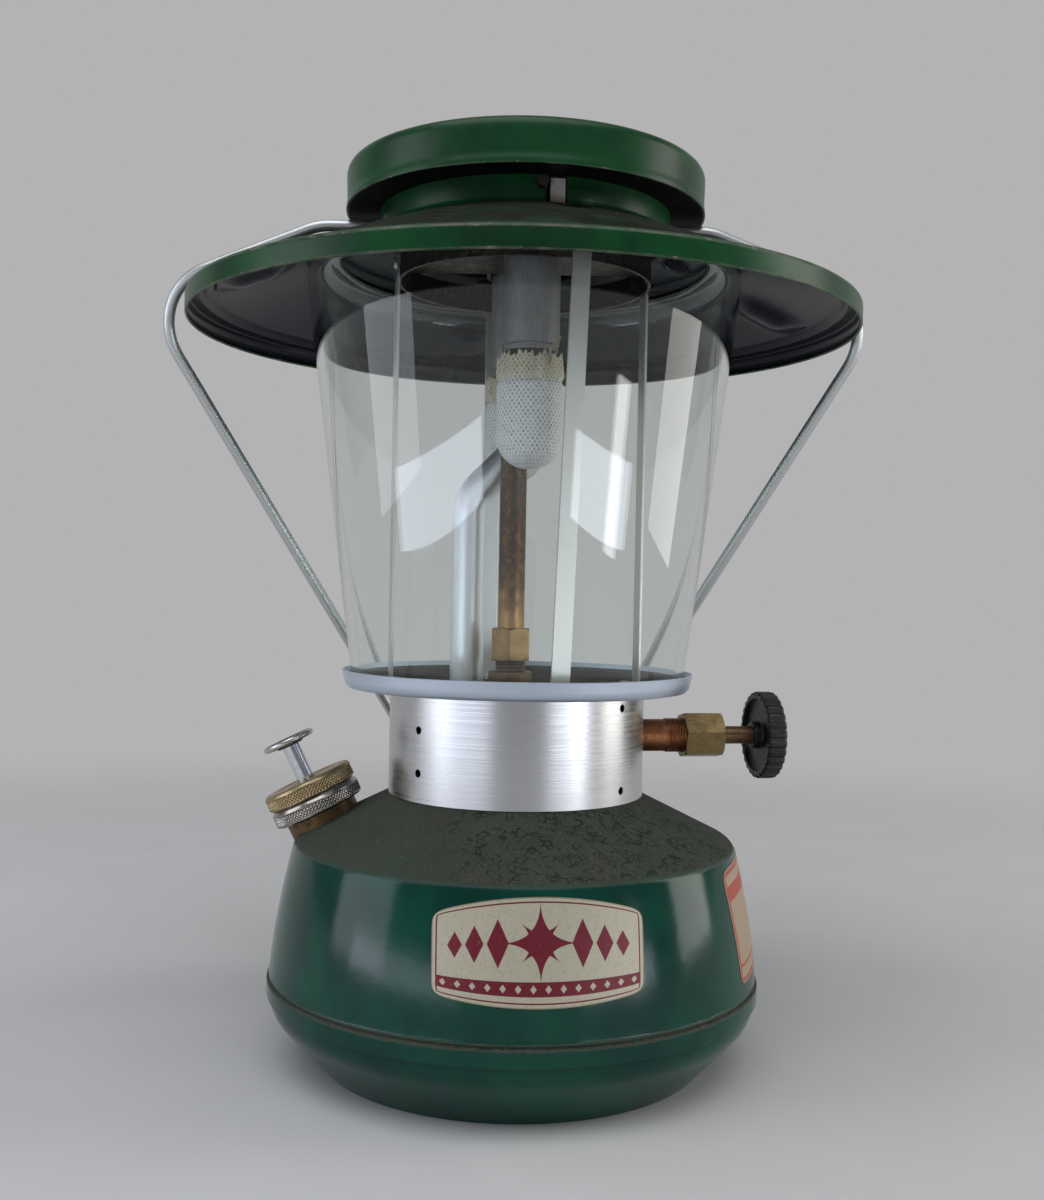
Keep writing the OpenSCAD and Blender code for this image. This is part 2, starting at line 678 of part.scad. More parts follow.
// the air tube stands beside the generator and bends over into the mixing tube
module air_route(r, from) {
    across = norm(mixing_at - air_at);
    translate([air_at[0], air_at[1], 0])
        rotate([90, 0, atan2(mixing_at[1] - air_at[1], mixing_at[0] - air_at[0])])
            bent_rod([[0, from], [0, shield_z + air_bend_z], [across, shield_z + air_bend_z + across],
                      [across, manifold_z + shield_z - from - air_below]], air_bend_r, r);
}
air_below = 8;
module air_tube() color("#aeb2b4") difference() {
    air_route(air_tube_d / 2, shield_z - air_below);
    air_route(air_tube_d / 2 - air_wall, shield_z - air_below - cut);
}

module oblong(r, half) {
    translate([-half, 0]) circle(r = r);
    translate([half, 0]) circle(r = r);
    square([2 * half, 2 * r], center = true);
}
module manifold() color("#8d8a84") rotate([0, 0, burner_turned]) difference() {
    translate([0, 0, manifold_z]) linear_extrude(height = manifold_h)
        oblong(burner_d / 2 + 2, burner_offset);
    translate([0, 0, manifold_z - cut]) linear_extrude(height = manifold_h - 1.2 + cut)
        oblong(burner_d / 2 + 0.8, burner_offset);
}

module burner(side) color("#77736d")
    rotate([0, 0, burner_turned]) translate([side * burner_offset, 0, burner_mouth_z + screen_h])
        tube(burner_d, burner_d - 2 * burner_wall, manifold_z - burner_mouth_z - screen_h);
module burner_front() burner(1);
module burner_rear() burner(-1);

module screen(side) color("#5a5650")
    rotate([0, 0, burner_turned]) translate([side * burner_offset, 0, burner_mouth_z]) {
        cap_r = burner_d / 2;
        spin([[0, 0.6], [cap_r - 2, 0], [cap_r - 0.4, 0.3], [cap_r - 0.4, 1.2], [cap_r - 1, 1.5],
              [cap_r - 1, 2], [cap_r - 0.1, 2.3], [cap_r - 0.1, screen_h], [0, screen_h]]);
    }
module screen_front() screen(1);
module screen_rear() screen(-1);

module mantle(side) color("#e9e6d8") {
    r = mantle_d / 2;
    neck = burner_d / 2 - 0.4;
    rotate([0, 0, burner_turned])
        translate([side * burner_offset, 0, burner_mouth_z - seat - mantle_l])
            spin(concat([[0, 0]], arc([0, r], r, -75, 0, 5),
                        [[r, mantle_l * 0.62], [neck, mantle_l * 0.9], [neck, mantle_l], [0, mantle_l]]));
}
module mantle_front() mantle(1);
module mantle_rear() mantle(-1);

// ---- filler and pump --------------------------------------------------------------------

filler_z = shoulder_z + (shoulder_r - filler_r) * tan(shoulder_slope);
neck_shows = 3.7;
neck_up = 5.2;                               // top of the brass neck
neck_down = 4;
gasket_h = 1.2;
ring_top = neck_shows + filler_ring_h;
pump_top = ring_top + pump_ring_h;
button_h = 2.8;
button_z = pump_top + rod_shows;
barrel_wall = 0.7;
barrel_flange = 1.4;
piston_l = 5;
piston_z = -barrel_l + barrel_flange + 14;
barrel_bore = barrel_d - 2 * barrel_wall;
rod_gap = 0.05;

module at_filler() translate([-filler_r, 0, filler_z]) rotate([0, -shoulder_slope, 0]) children();

module filler_neck() color(brass) at_filler()
    translate([0, 0, -neck_down]) tube(filler_neck_d, barrel_d + 2.4, neck_down + neck_up);

module filler_gasket() color("#3a3733") at_filler()
    translate([0, 0, neck_up + fit]) tube(filler_neck_d - 0.6, barrel_d + 1, gasket_h);

module filler_cap() color("#b7b4ac") at_filler() difference() {
    translate([0, 0, neck_shows]) spin([[0, 0], [filler_cap_d / 2 - 1, 0], [filler_cap_d / 2, 0.7],
        [filler_cap_d / 2, filler_ring_h - 1.5], [filler_cap_d / 2 - 1.2, filler_ring_h], [0, filler_ring_h]]);
    translate([0, 0, neck_shows - cut])
        cylinder(d = filler_neck_d + 0.5, h = neck_up + fit + gasket_h - neck_shows + cut);
    cylinder(d = barrel_d + 2 * fit, h = 20);
}

module pump_cap() color(brass) at_filler() difference() {
    translate([0, 0, ring_top]) spin(concat([[0, 0], [filler_cap_d / 2 - 1, 0], [filler_cap_d / 2, 0.6]],
        arc([filler_cap_d / 2 - 2, pump_ring_h - 2], 2, 0, 90, 4), [[0, pump_ring_h]]));
    translate([0, 0, ring_top - cut]) cylinder(d = barrel_d + 2.6, h = barrel_flange + fit + cut);
    cylinder(d = rod_d + 2 * rod_gap, h = 30);
}

module pump_barrel() color(brass) at_filler() difference() {
    union() {
        translate([0, 0, ring_top - barrel_l]) cylinder(d = barrel_d, h = barrel_l + barrel_flange);
        translate([0, 0, ring_top]) cylinder(d = barrel_d + 2.4, h = barrel_flange);
    }
    translate([0, 0, ring_top - barrel_l - cut]) cylinder(d = barrel_bore, h = barrel_l + 8);
}

module pump_check_valve() color(brass) at_filler()
    translate([0, 0, ring_top - barrel_l]) spin([[0, -6], [3.2, -6], [4, -5], [4, -2.5],
        [barrel_d / 2 - 1, -2], [barrel_d / 2 - 0.2, 0], [barrel_bore / 2 - fit, 0],
        [barrel_bore / 2 - fit, 3], [0, 3]]);

module pump_rod() color("#c8c9c6") at_filler()
    translate([0, 0, ring_top + piston_z + piston_l])
        cylinder(d = rod_d, h = button_z - ring_top - piston_z - piston_l);

module pump_button() color("#c8c9c6") at_filler() translate([0, 0, button_z])
    spin(concat([[0, 0], [button_d / 2 - 1.2, 0]], arc([button_d / 2 - 1.2, 1.2], 1.2, -90, 40, 6),
                [[0, button_h]]));

module pump_leather() color("#4a3a2a") at_filler()
    translate([0, 0, ring_top + piston_z]) cylinder(d = barrel_bore - 2 * fit, h = piston_l);

// ---- nodes --------------------------------------------------------------------------------

fount_shell();
fount_base();
collar();
heat_shield();
globe();
frame_band();
strap_front();
strap_right();
strap_rear();
strap_left();
frame_rivets();
frame_bridge();
valve_block();
fuel_pickup();
valve_packing();
packing_nut();
valve_stem();
valve_knob();
knob_screw();
generator_nut();
generator_tube();
air_tube();
manifold();
burner_front();
burner_rear();
screen_front();
screen_rear();
mantle_front();
mantle_rear();
filler_neck();
filler_gasket();
filler_cap();
pump_cap();
pump_barrel();
pump_check_valve();
pump_rod();
pump_button();
pump_leather();
hood();
hood_cap();
cap_brackets();
cap_rivets();
catch_pins();
bail();
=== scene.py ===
"""Looks of a camping lantern with two mantles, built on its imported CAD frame.

Sizes are in millimetres in the classes below and turn to metres when a mesh is made. The fount
stands on the table at z = 0, the control knob is on the +X side and -Y is the front.
"""

from __future__ import annotations

import logging
import math
from dataclasses import dataclass, field
from enum import Enum
from functools import partial, reduce
from typing import Any, Sequence

import bmesh
import bpy
import numpy as np
from mathutils import Matrix, Vector


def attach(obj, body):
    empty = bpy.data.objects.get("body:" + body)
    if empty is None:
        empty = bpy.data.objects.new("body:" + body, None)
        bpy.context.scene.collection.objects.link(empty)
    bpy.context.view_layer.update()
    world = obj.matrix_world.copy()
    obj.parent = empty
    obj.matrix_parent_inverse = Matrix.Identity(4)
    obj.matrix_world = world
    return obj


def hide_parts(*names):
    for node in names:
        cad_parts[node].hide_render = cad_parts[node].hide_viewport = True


LOG = logging.getLogger("lantern")
MM = 0.001
TURN = 2.0 * math.pi
WELD = 2e-6  # metres: points closer than this are one
NO_PRINT = 99.0  # millimetres: a place outside any label, for faces that carry no print
OUT_OF_SIGHT = 99.0  # millimetres: further than any dimple or flute reaches
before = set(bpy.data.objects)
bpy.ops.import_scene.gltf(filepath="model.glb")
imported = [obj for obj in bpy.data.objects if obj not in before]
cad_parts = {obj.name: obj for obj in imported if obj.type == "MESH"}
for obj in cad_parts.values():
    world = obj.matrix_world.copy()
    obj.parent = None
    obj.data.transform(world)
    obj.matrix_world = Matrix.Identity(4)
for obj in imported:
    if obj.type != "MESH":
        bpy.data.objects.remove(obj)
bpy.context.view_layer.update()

Array = np.ndarray
Material = bpy.types.Material
Object = bpy.types.Object


class Body(Enum):
    """The moving bodies that a piece can ride on."""

    LANTERN = "lantern"
    GLOBE = "globe"
    HOOD = "hood"
    BAIL = "bail"
    VALVE = "valve"
    FILLER = "filler"
    PUMP = "pump"


# ---- surfaces ---------------------------------------------------------------------------


def smooth_step(x: Array, low: float, high: float) -> Array:
    """Rises smoothly from 0 at low to 1 at high: 3t^2 - 2t^3 of the share t of the way.

    Args:
        x: Where it is read.
        low: Where the rise starts.
        high: Where the rise ends.

    Returns:
        The height at each x.
    """
    t = np.clip((x - low) / (high - low), 0.0, 1.0)
    return t * t * (3.0 - 2.0 * t)


def between(x: Array, ends: tuple[float, float], fades: tuple[float, float]) -> Array:
    """1 between two ends and 0 outside them, with smooth fades of the given lengths inside them."""
    return smooth_step(x, ends[0], ends[0] + fades[0]) * smooth_step(-x, -ends[1], -ends[1] + fades[1])


def round_angles(n: int) -> Array:
    """Angles evenly spaced round the axis, in radians, from +X."""
    return np.linspace(0.0, TURN, n, endpoint=False)


def zigzag(x: Array) -> Array:
    """A wave that falls straight from 1 to 0 and rises to 1 again in each unit of x."""
    return np.abs(x % 1.0 - 0.5) * 2.0


def circle_points(centre: Sequence[float], radius: float, start: float, end: float, n: int) -> Array:
    """Points of an arc: the centre plus the radius times (cos a, sin a).

    Args:
        centre: The arc's centre.
        radius: The arc's radius.
        start: First angle, in degrees.
        end: Last angle, in degrees.
        n: How many points.

    Returns:
        The points, one a row.
    """
    a = np.radians(np.linspace(start, end, n))
    return np.asarray(centre) + radius * np.stack([np.cos(a), np.sin(a)], 1)


def round_corners(corners: Sequence[Sequence[float]], radii: Sequence[float], n: int = 8) -> Array:
    """A line through corners, each turned into an arc that touches both its sides.

    The arc's centre lies on the corner's bisector, at radius / sin(half the angle).

    Args:
        corners: The corners, ends included. A corner on a straight line needs the radius 0.
        radii: The radius at each corner; 0 keeps it sharp.
        n: Points of each arc.

    Returns:
        The points of the line, one a row.
    """
    points = [np.asarray(c, float) for c in corners]
    out: list[Array] = []
    for i, corner in enumerate(points):
        if i in (0, len(points) - 1) or radii[i] <= 0.0:
            out.append(corner[None])
            continue
        back = points[i - 1] - corner
        ahead = points[i + 1] - corner
        back /= np.linalg.norm(back)
        ahead /= np.linalg.norm(ahead)
        half = math.acos(float(np.clip(back @ ahead, -1.0, 1.0))) / 2.0
        middle = back + ahead
        middle /= np.linalg.norm(middle)
        centre = corner + middle * radii[i] / math.sin(half)
        first = corner + back * radii[i] / math.tan(half) - centre
        last = corner + ahead * radii[i] / math.tan(half) - centre
        t = np.linspace(0.0, 1.0, n)[:, None]
        turn = math.pi - 2.0 * half
        arc = (np.sin((1.0 - t) * turn) * first + np.sin(t * turn) * last) / math.sin(turn)
        out.append(centre + arc)
    return np.concatenate(out)


def resample(line: Array, step: float) -> Array:
    """Points along a line, evenly spaced by its length and no further apart than step."""
    length = np.concatenate([[0.0], np.cumsum(np.linalg.norm(np.diff(line, axis=0), axis=1))])
    at = np.linspace(0.0, length[-1], max(2, int(math.ceil(length[-1] / step)) + 1))
    return np.stack([np.interp(at, length, line[:, k]) for k in range(line.shape[1])], 1)


def left_of(line: Array) -> Array:
    """Unit normals to the left of a flat line, at each of its points."""
    heading = np.gradient(line, axis=0)
    heading /= np.linalg.norm(heading, axis=1)[:, None]
    return np.stack([-heading[:, 1], heading[:, 0]], 1)


def thick_outline(line: Array, wall: float) -> Array:
    """Closed outline of sheet metal: the line, and back along its copy moved by wall to its left.

    Args:
        line: Points of the outer side.
        wall: Thickness of the sheet.

    Returns:
        The points of the closed outline.
    """
    return np.concatenate([line, (line + wall * left_of(line))[::-1]])


@dataclass
class Place:
    """Where a turned piece stands: its origin, and its three axes as rows."""

    origin: Array = field(default_factory=lambda: np.zeros(3))
    axes: Array = field(default_factory=lambda: np.eye(3))

    def put(self, points: Array) -> Array:
        """Moves points from the piece's own axes to the lantern's."""
        return self.origin + points @ self.axes


@dataclass
class Surface:
    """A grid of points over two parameters: rows run along the profile, columns round it."""

    points: Array
    wrap_rows: bool = False
    wrap_columns: bool = True
    uv: Array | None = None
    keep: Array | None = None
    part: Array | None = None

    def faces(self) -> tuple[Array, Array]:
        """Corner indices of each face, and the row and column where it starts."""
        rows, columns = self.points.shape[:2]
        i, j = np.meshgrid(
            np.arange(rows if self.wrap_rows else rows - 1),
            np.arange(columns if self.wrap_columns else columns - 1),
            indexing="ij",
        )
        if self.keep is not None:
            chosen = self.keep[i, j]
            i, j = i[chosen], j[chosen]
        i, j = i.ravel(), j.ravel()
        up, across = (i + 1) % rows, (j + 1) % columns
        corners = [i * columns + j, i * columns + across, up * columns + across, up * columns + j]
        return np.stack(corners, 1), np.stack([i, j], 1)


def turned(profile: Array, around: int = 256, swell: Array | None = None) -> Array:
    """Turns a profile of (radius, height) points round the axis.

    A point is (r cos a, r sin a, z), with r the profile's radius plus the swell there.

    Args:
        profile: Points of (radius, height).
        around: Columns round the axis.
        swell: What is added to the radius, for each row and column.

    Returns:
        The grid of points.
    """
    a = round_angles(around)
    r = profile[:, :1] + (0.0 if swell is None else swell)
    z = np.broadcast_to(profile[:, 1:], (len(profile), around))
    return np.stack([r * np.cos(a), r * np.sin(a), z], 2)


def swept(path: Array, normal: Sequence[float], radius: float | Array, sides: int = 24) -> Array:
    """Carries a circle along a flat path.

    A point is the path's plus radius times (cos b times the path's plane normal, plus sin b
    times the direction across the path in its plane).

    Args:
        path: Points of the path.
        normal: Normal of the plane that the path lies in.
        radius: Radius of the circle, one for all or one for each point.
        sides: Columns round the circle.

    Returns:
        The grid of points.
    """
    n = np.asarray(normal, float) / np.linalg.norm(normal)
    along = np.gradient(path, axis=0)
    along /= np.linalg.norm(along, axis=1)[:, None]
    across = np.cross(along, n)
    b = round_angles(sides)[None, :, None]
    r = np.broadcast_to(np.asarray(radius, float), (len(path),))[:, None, None]
    return path[:, None] + r * (np.cos(b) * n + np.sin(b) * across[:, None])


def with_ends(grid: Array) -> Array:
    """Adds a point row at each end of a tube, at the middle of its last ring, to close it."""
    first, last = (np.broadcast_to(ring.mean(0), ring.shape)[None] for ring in (grid[0], grid[-1]))
    return np.concatenate([first, grid, last])


# ---- pieces -----------------------------------------------------------------------------


def finish_mesh(piece: Object, sharp: float, outward: bool) -> None:
    """Welds a mesh's seams and poles, points its faces outwards and marks its sharp edges.

    Args:
        piece: The new object.
        sharp: Angle in degrees past which an edge stays sharp.
        outward: True if the mesh is closed, so that its normals are worked out again.
    """
    mesh = bmesh.new()
    mesh.from_mesh(piece.data)
    bmesh.ops.remove_doubles(mesh, verts=mesh.verts, dist=WELD)
    bmesh.ops.dissolve_degenerate(mesh, dist=WELD / 20.0, edges=mesh.edges)
    if outward:
        bmesh.ops.recalc_face_normals(mesh, faces=mesh.faces)
    mesh.to_mesh(piece.data)
    mesh.free()
    piece.data.shade_smooth()
    piece.data.set_sharp_from_angle(angle=math.radians(sharp))


def register(piece: Object, body: Body, nodes: Sequence[str]) -> Object:
    """Puts a piece in the scene, on its body, in the place of the CAD nodes it stands for.

    Args:
        piece: The new object.
        body: The body it rides on.
        nodes: The CAD nodes it stands for, if any.

    Returns:
        The object.
    """
    bpy.context.scene.collection.objects.link(piece)
    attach(piece, body.value)
    if nodes:
        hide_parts(*nodes)
    LOG.info("%s: %d faces, rides on %s", piece.name, len(piece.data.polygons), body.value)
    return piece


def make_piece(
    name: str,
    surfaces: Surface | Sequence[Surface],
    finishes: "Finish | Sequence[Finish]",
    body: Body,
    nodes: Sequence[str] = (),
    sharp: float = 35.0,
    outward: bool = True,
) -> Object:
    """Makes one object of one or more surfaces.

    Args:
        name: The piece's name.
        surfaces: Its surfaces, in millimetres.
        finishes: The finish of each surface, or of each part of a surface.
        body: The body it rides on.
        nodes: The CAD nodes it stands for.
        sharp: Angle in degrees past which an edge stays sharp.
        outward: True if the surfaces are closed.

    Returns:
        The object.
    """
    group = [surfaces] if isinstance(surfaces, Surface) else list(surfaces)
    dress = [finishes] if isinstance(finishes, Finish) else list(finishes)
    points, quads, parts, corners = [], [], [], []
    start = 0
    for k, s in enumerate(group):
        faces, cell = s.faces()
        i, j = cell.T
        points.append(s.points.reshape(-1, 3))
        quads.append(faces + start)
        start += s.points.shape[0] * s.points.shape[1]
        parts.append(np.full(len(faces), min(k, len(dress) - 1)) if s.part is None else s.part[i, j])
        if s.uv is not None:
            corners.append(np.stack([s.uv[i, j], s.uv[i, j + 1], s.uv[i + 1, j + 1], s.uv[i + 1, j]], 1))
    mesh = bpy.data.meshes.new(name)
    mesh.from_pydata((np.concatenate(points) * MM).tolist(), [], np.concatenate(quads).tolist())
    mesh.polygons.foreach_set("material_index", np.concatenate(parts).astype(np.int32))
    if corners:
        flat = np.concatenate(corners).astype(np.float32).ravel()
        mesh.uv_layers.new(name="cloth").data.foreach_set("uv", flat)
    for finish in dress:
        mesh.materials.append(finish.material())
    piece = bpy.data.objects.new(name, mesh)
    finish_mesh(piece, sharp, outward)
    return register(piece, body, nodes)


def dressed_node(
    node: str, name: str, finish: "Finish", body: Body, slot: str, sharp: float = 30.0, bevel: float = 0.0
) -> Object:
    """Stands a welded, smooth copy of a CAD node in its place, with its real finish.

    Args:
        node: The CAD node.
        name: The new piece's name.
        finish: Its finish.
        body: The body it rides on.
        slot: Not used.
        sharp: Angle in degrees past which an edge stays sharp.
        bevel: Width in millimetres of the rounding on its sharp edges.

    Returns:
        The object.
    """
    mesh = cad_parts[node].data.copy()
    mesh.name = name
    mesh.materials.clear()
    mesh.materials.append(finish.material())
    mesh.polygons.foreach_set("material_index", np.zeros(len(mesh.polygons), np.int32))
    if mesh.has_custom_normals:
        mesh.normals_split_custom_set([(0.0, 0.0, 0.0)] * len(mesh.loops))
        mesh.attributes.remove(mesh.attributes["custom_normal"])
    piece = bpy.data.objects.new(name, mesh)
    finish_mesh(piece, sharp, outward=False)
    if bevel > 0.0:
        cut = piece.modifiers.new("rounded_edges", "BEVEL")
        cut.width = bevel * MM
        cut.segments = 2
        cut.limit_method = "ANGLE"
        cut.angle_limit = math.radians(sharp)
        cut.harden_normals = True
    return register(piece, body, [node])


# ---- finishes ---------------------------------------------------------------------------


def linear(code: str, alpha: float = 1.0) -> tuple[float, float, float, float]:
    """The linear colour of an sRGB hex value such as 'a0b1c2'."""
    share = [int(code[i : i + 2], 16) / 255.0 for i in (0, 2, 4)]
    r, g, b = (c / 12.92 if c <= 0.04045 else ((c + 0.055) / 1.055) ** 2.4 for c in share)
    return r, g, b, alpha


def add(tree: Any, kind: str, values: dict | None = None, links: dict | None = None, **settings: Any) -> Any:
    """Adds a node with its settings and links.

    Args:
        tree: The material's node tree.
        kind: The node's type, without its ShaderNode prefix.
        values: What each input is set to, by its name or place.
        links: The output that each input reads, by its name or place.
        settings: The node's own settings.

    Returns:
        The node.
    """
    node = tree.nodes.new("ShaderNode" + kind)
    for key, value in settings.items():
        setattr(node, key, value)
    for key, value in (values or {}).items():
        node.inputs[key].default_value = value
    for key, output in (links or {}).items():
        tree.links.new(output, node.inputs[key])
    return node


class Mask:
    """Patterns over a piece, read from its own millimetres."""

    def __init__(self, tree: Any, stretch: Sequence[float] = (1.0, 1.0, 1.0)) -> None:
        """Starts from the piece's Object coordinates, in millimetres times the stretch."""
        self.tree = tree
        place = add(tree, "TexCoord")
        scale = tuple(s / MM for s in stretch)
        self.at = add(tree, "Mapping", {"Scale": scale}, {"Vector": place.outputs["Object"]}).outputs[0]

    def noise(self, size: float, detail: float = 3.0, rough: float = 0.55, warp: float = 0.0) -> Any:
        """Cloudy noise whose blotches are about size millimetres wide."""
        values = {"Scale": 1.0 / size, "Detail": detail, "Roughness": rough, "Distortion": warp}
        return add(self.tree, "TexNoise", values, {"Vector": self.at}).outputs["Fac"]

    def band(self, source: Any, low: float, high: float, bottom: float = 0.0, top: float = 1.0) -> Any:
        """Maps low..high of a value smoothly to bottom..top."""
        values = {"From Min": low, "From Max": high, "To Min": bottom, "To Max": top}
        smooth = {"interpolation_type": "SMOOTHSTEP"}
        return add(self.tree, "MapRange", values, {"Value": source}, **smooth).outputs[0]

    def math(self, operation: str, a: Any, b: Any = 0.0) -> Any:
        """Joins two values, or a value and a number, by one operation."""
        values, links = {}, {0: a}
        (links if hasattr(b, "links") else values)[1] = b
        return add(self.tree, "Math", values, links, operation=operation).outputs[0]

    def times(self, *values: Any) -> Any:
        """The product of values, of which all but the first may be numbers."""
        return reduce(partial(self.math, "MULTIPLY"), values)

    def largest(self, *values: Any) -> Any:
        """The largest of values."""
        return reduce(partial(self.math, "MAXIMUM"), values)

    def apart(self, a: Any, b: Any) -> Any:
        """How far a value is from another one or from a number."""
        return self.math("ABSOLUTE", self.math("SUBTRACT", a, b))

    def axis(self, name: str) -> Any:
        """One of the piece's own coordinates, X, Y or Z, in millimetres."""
        return add(self.tree, "SeparateXYZ", None, {0: self.at}).outputs[name]

    def radius(self) -> Any:
        """Distance from the lantern's axis, in millimetres."""
        x, y = self.axis("X"), self.axis("Y")
        return self.math("SQRT", self.math("ADD", self.times(x, x), self.times(y, y)))

    def hoops(self, width: float, length: float) -> Any:
        """Noise drawn out round the axis: streaks width wide, and length long at 80 mm out."""
        turn = self.times(self.math("ARCTAN2", self.axis("Y"), self.axis("X")), 80.0 / length)
        at = add(self.tree, "CombineXYZ", None, {0: turn, 1: self.math("DIVIDE", self.radius(), width)})
        values = {"Scale": 1.0, "Detail": 4.0, "Roughness": 0.6}
        return add(self.tree, "TexNoise", values, {"Vector": at.outputs[0]}).outputs["Fac"]

    def near_level(self, level: float, reach: float) -> Any:
        """1 at a height, falling to 0 at reach from it."""
        return self.band(self.apart(self.axis("Z"), level), reach, reach * 0.3)

    def facing_up(self) -> Any:
        """How far the surface faces up, from -1 to 1."""
        geometry = add(self.tree, "NewGeometry")
        return add(self.tree, "SeparateXYZ", None, {0: geometry.outputs["Normal"]}).outputs["Z"]

    def print_place(self) -> tuple[Any, Any]:
        """Place on a cloth or a label, across and down or up, in millimetres."""
        axes = add(self.tree, "SeparateXYZ", None, {0: add(self.tree, "UVMap", uv_map="cloth").outputs[0]})
        return axes.outputs["X"], axes.outputs["Y"]

    def colours(self, share: Any, a: Any, b: Any) -> Any:
        """Mixes two colours by a share.

        Args:
            share: How much there is of the second colour, 0 to 1.
            a: The first colour, an output or an sRGB hex value.
            b: The second colour.

        Returns:
            The mixed colour.
        """
        values, links = {}, {0: share}
        for place, colour in ((6, a), (7, b)):
            if isinstance(colour, str):
                values[place] = linear(colour)
            else:
                links[place] = colour
        return add(self.tree, "Mix", values, links, data_type="RGBA").outputs[2]

    def bump(self, height: Any, depth: float, under: Any = None) -> Any:
        """Raises the surface by depth millimetres where the height is 1, over another bump."""
        links = {"Height": height, **({"Normal": under} if under is not None else {})}
        return add(self.tree, "Bump", {"Strength": 1.0, "Distance": depth * MM}, links).outputs[0]


@dataclass(frozen=True)
class Finish:
    """What a surface is made of and how it was made."""

    name: str

    def material(self) -> Material:
        """The finish's material, built once."""
        made = bpy.data.materials.get(self.name)
        if made is None:
            made = bpy.data.materials.new(self.name)
            made.use_nodes = True
            made.node_tree.nodes.clear()
            shader = self.build(made.node_tree)
            add(made.node_tree, "OutputMaterial", None, {"Surface": shader})
        return made

    def build(self, tree: Any) -> Any:
        """Builds the shader and returns its output."""
        raise NotImplementedError


@dataclass(frozen=True)
class GlossEnamel(Finish):
    """Baked enamel on pressed steel: glossy, faintly rippled, with dust where it faces up."""

    colour: str = "12402e"
    shade: str = "0b2f25"
    dust: float = 0.0
    dust_colour: str = "4d4a40"
    roughness: float = 0.2
    gloss: float = 0.5
    groove: float | None = None
    # Heights of edges with chips and a pale line that is partly worn steel and partly a painted highlight.
    edge_wear_and_highlight_levels: tuple[float, ...] = ()
    pale_grains: str = "8b8674"
    bare_steel_and_highlight: str = "77746a"
    mark_colour: str = "16241c"

    def tone(self, m: Mask) -> Any:
        """The enamel's own colour, in slow clouds of two tones."""
        return m.colours(m.band(m.noise(26.0), 0.35, 0.65), self.shade, self.colour)

    def film(self, m: Mask) -> Any:
        """How much dust lies where: on what faces up, in clouds of fine grains, and in a groove."""
        up = m.band(m.facing_up(), 0.3, 0.8)
        clouds = m.band(m.noise(14.0, 4.0, 0.6, 0.6), 0.22, 0.55, 0.62, 1.0)
        grains = m.band(m.noise(0.8, 5.0, 0.75), 0.3, 0.62, 0.55, 1.0)
        film = m.times(up, clouds, grains, self.dust)
        if self.groove is None:
            return film
        grime = m.band(m.noise(1.8, 5.0, 0.7), 0.34, 0.6, 0.15, 0.95)
        return m.largest(film, m.times(m.near_level(self.groove, 1.5), grime))

    def wear_and_edge_highlight(self, m: Mask, level: float) -> Any:
        """Steel along an edge at a height: chips, and a thin pale line along the whole edge that is partly
        rubbed through and partly a painted highlight on the rolled edge.
        """
        chips = m.times(m.near_level(level, 0.7), m.band(m.noise(3.4, 5.0, 0.75), 0.585, 0.64))
        # The pale line: rubbed steel, and a painted highlight where the rolled edge catches the light.
        rubbed = m.times(m.near_level(level, 0.55), m.band(m.noise(7.0, 3.0), 0.35, 0.65, 0.1, 0.5))
        return m.largest(chips, rubbed)

    def marks(self, m: Mask) -> Any:
        """Dark marks over the dust, if it has any."""
        return None

    def build(self, tree: Any) -> Any:
        """Enamel under its dust, with steel where it is worn through at the edges, and a pale line along them
        that is partly a painted highlight.
        """
        m = Mask(tree)
        film = self.film(m)
        dirt = m.colours(m.band(m.noise(0.7, 4.0, 0.8), 0.56, 0.74), self.dust_colour, self.pale_grains)
        base = m.colours(film, self.tone(m), dirt)
        rough = m.band(film, 0.0, 0.7, self.roughness, 0.9)
        if self.edge_wear_and_highlight_levels:
            bare_and_highlight = m.largest(*[self.wear_and_edge_highlight(m, level) for level in self.edge_wear_and_highlight_levels])
            base = m.colours(bare_and_highlight, base, self.bare_steel_and_highlight)
            rough = m.math("ADD", rough, m.times(bare_and_highlight, 0.3))
        marks = self.marks(m)
        if marks is not None:
            base = m.colours(marks, base, self.mark_colour)
        ripple = m.bump(m.noise(4.5, 3.0), 0.03)
        grit = m.bump(m.times(m.noise(0.8, 5.0, 0.75), film), 0.25, ripple)
        links = {"Base Color": base, "Roughness": rough, "Normal": grit}
        return add(tree, "BsdfPrincipled", {"Specular IOR Level": self.gloss}, links).outputs[0]


@dataclass(frozen=True)
class SpottedEnamel(GlossEnamel):
    """The same enamel on a shoulder where drops of water have dried into small dark rings."""

    rings: tuple[tuple[float, float, float], ...] = (
        (6.5, 0.56, 0.026), (4.4, 0.56, 0.024), (9.0, 0.46, 0.014))

    def marks(self, m: Mask) -> Any:
        """Rings: level lines of noises, each of (size, level, half width), where it faces up.

        They thin out from the half towards the knob to the half towards the filler.
        """
        drawn = [m.band(m.apart(m.noise(size, 1.6, 0.5), level), half, 0.5 * half)
                 for size, level, half in self.rings]
        broken = m.times(m.largest(*drawn), m.band(m.noise(5.0, 2.0), 0.4, 0.5))
        side = m.math("ADD", m.axis("X"), m.times(m.noise(13.0), 46.0))
        up = m.band(m.facing_up(), 0.6, 0.85)
        return m.times(broken, up, m.band(side, -8.0, 18.0, 0.0, 0.85))


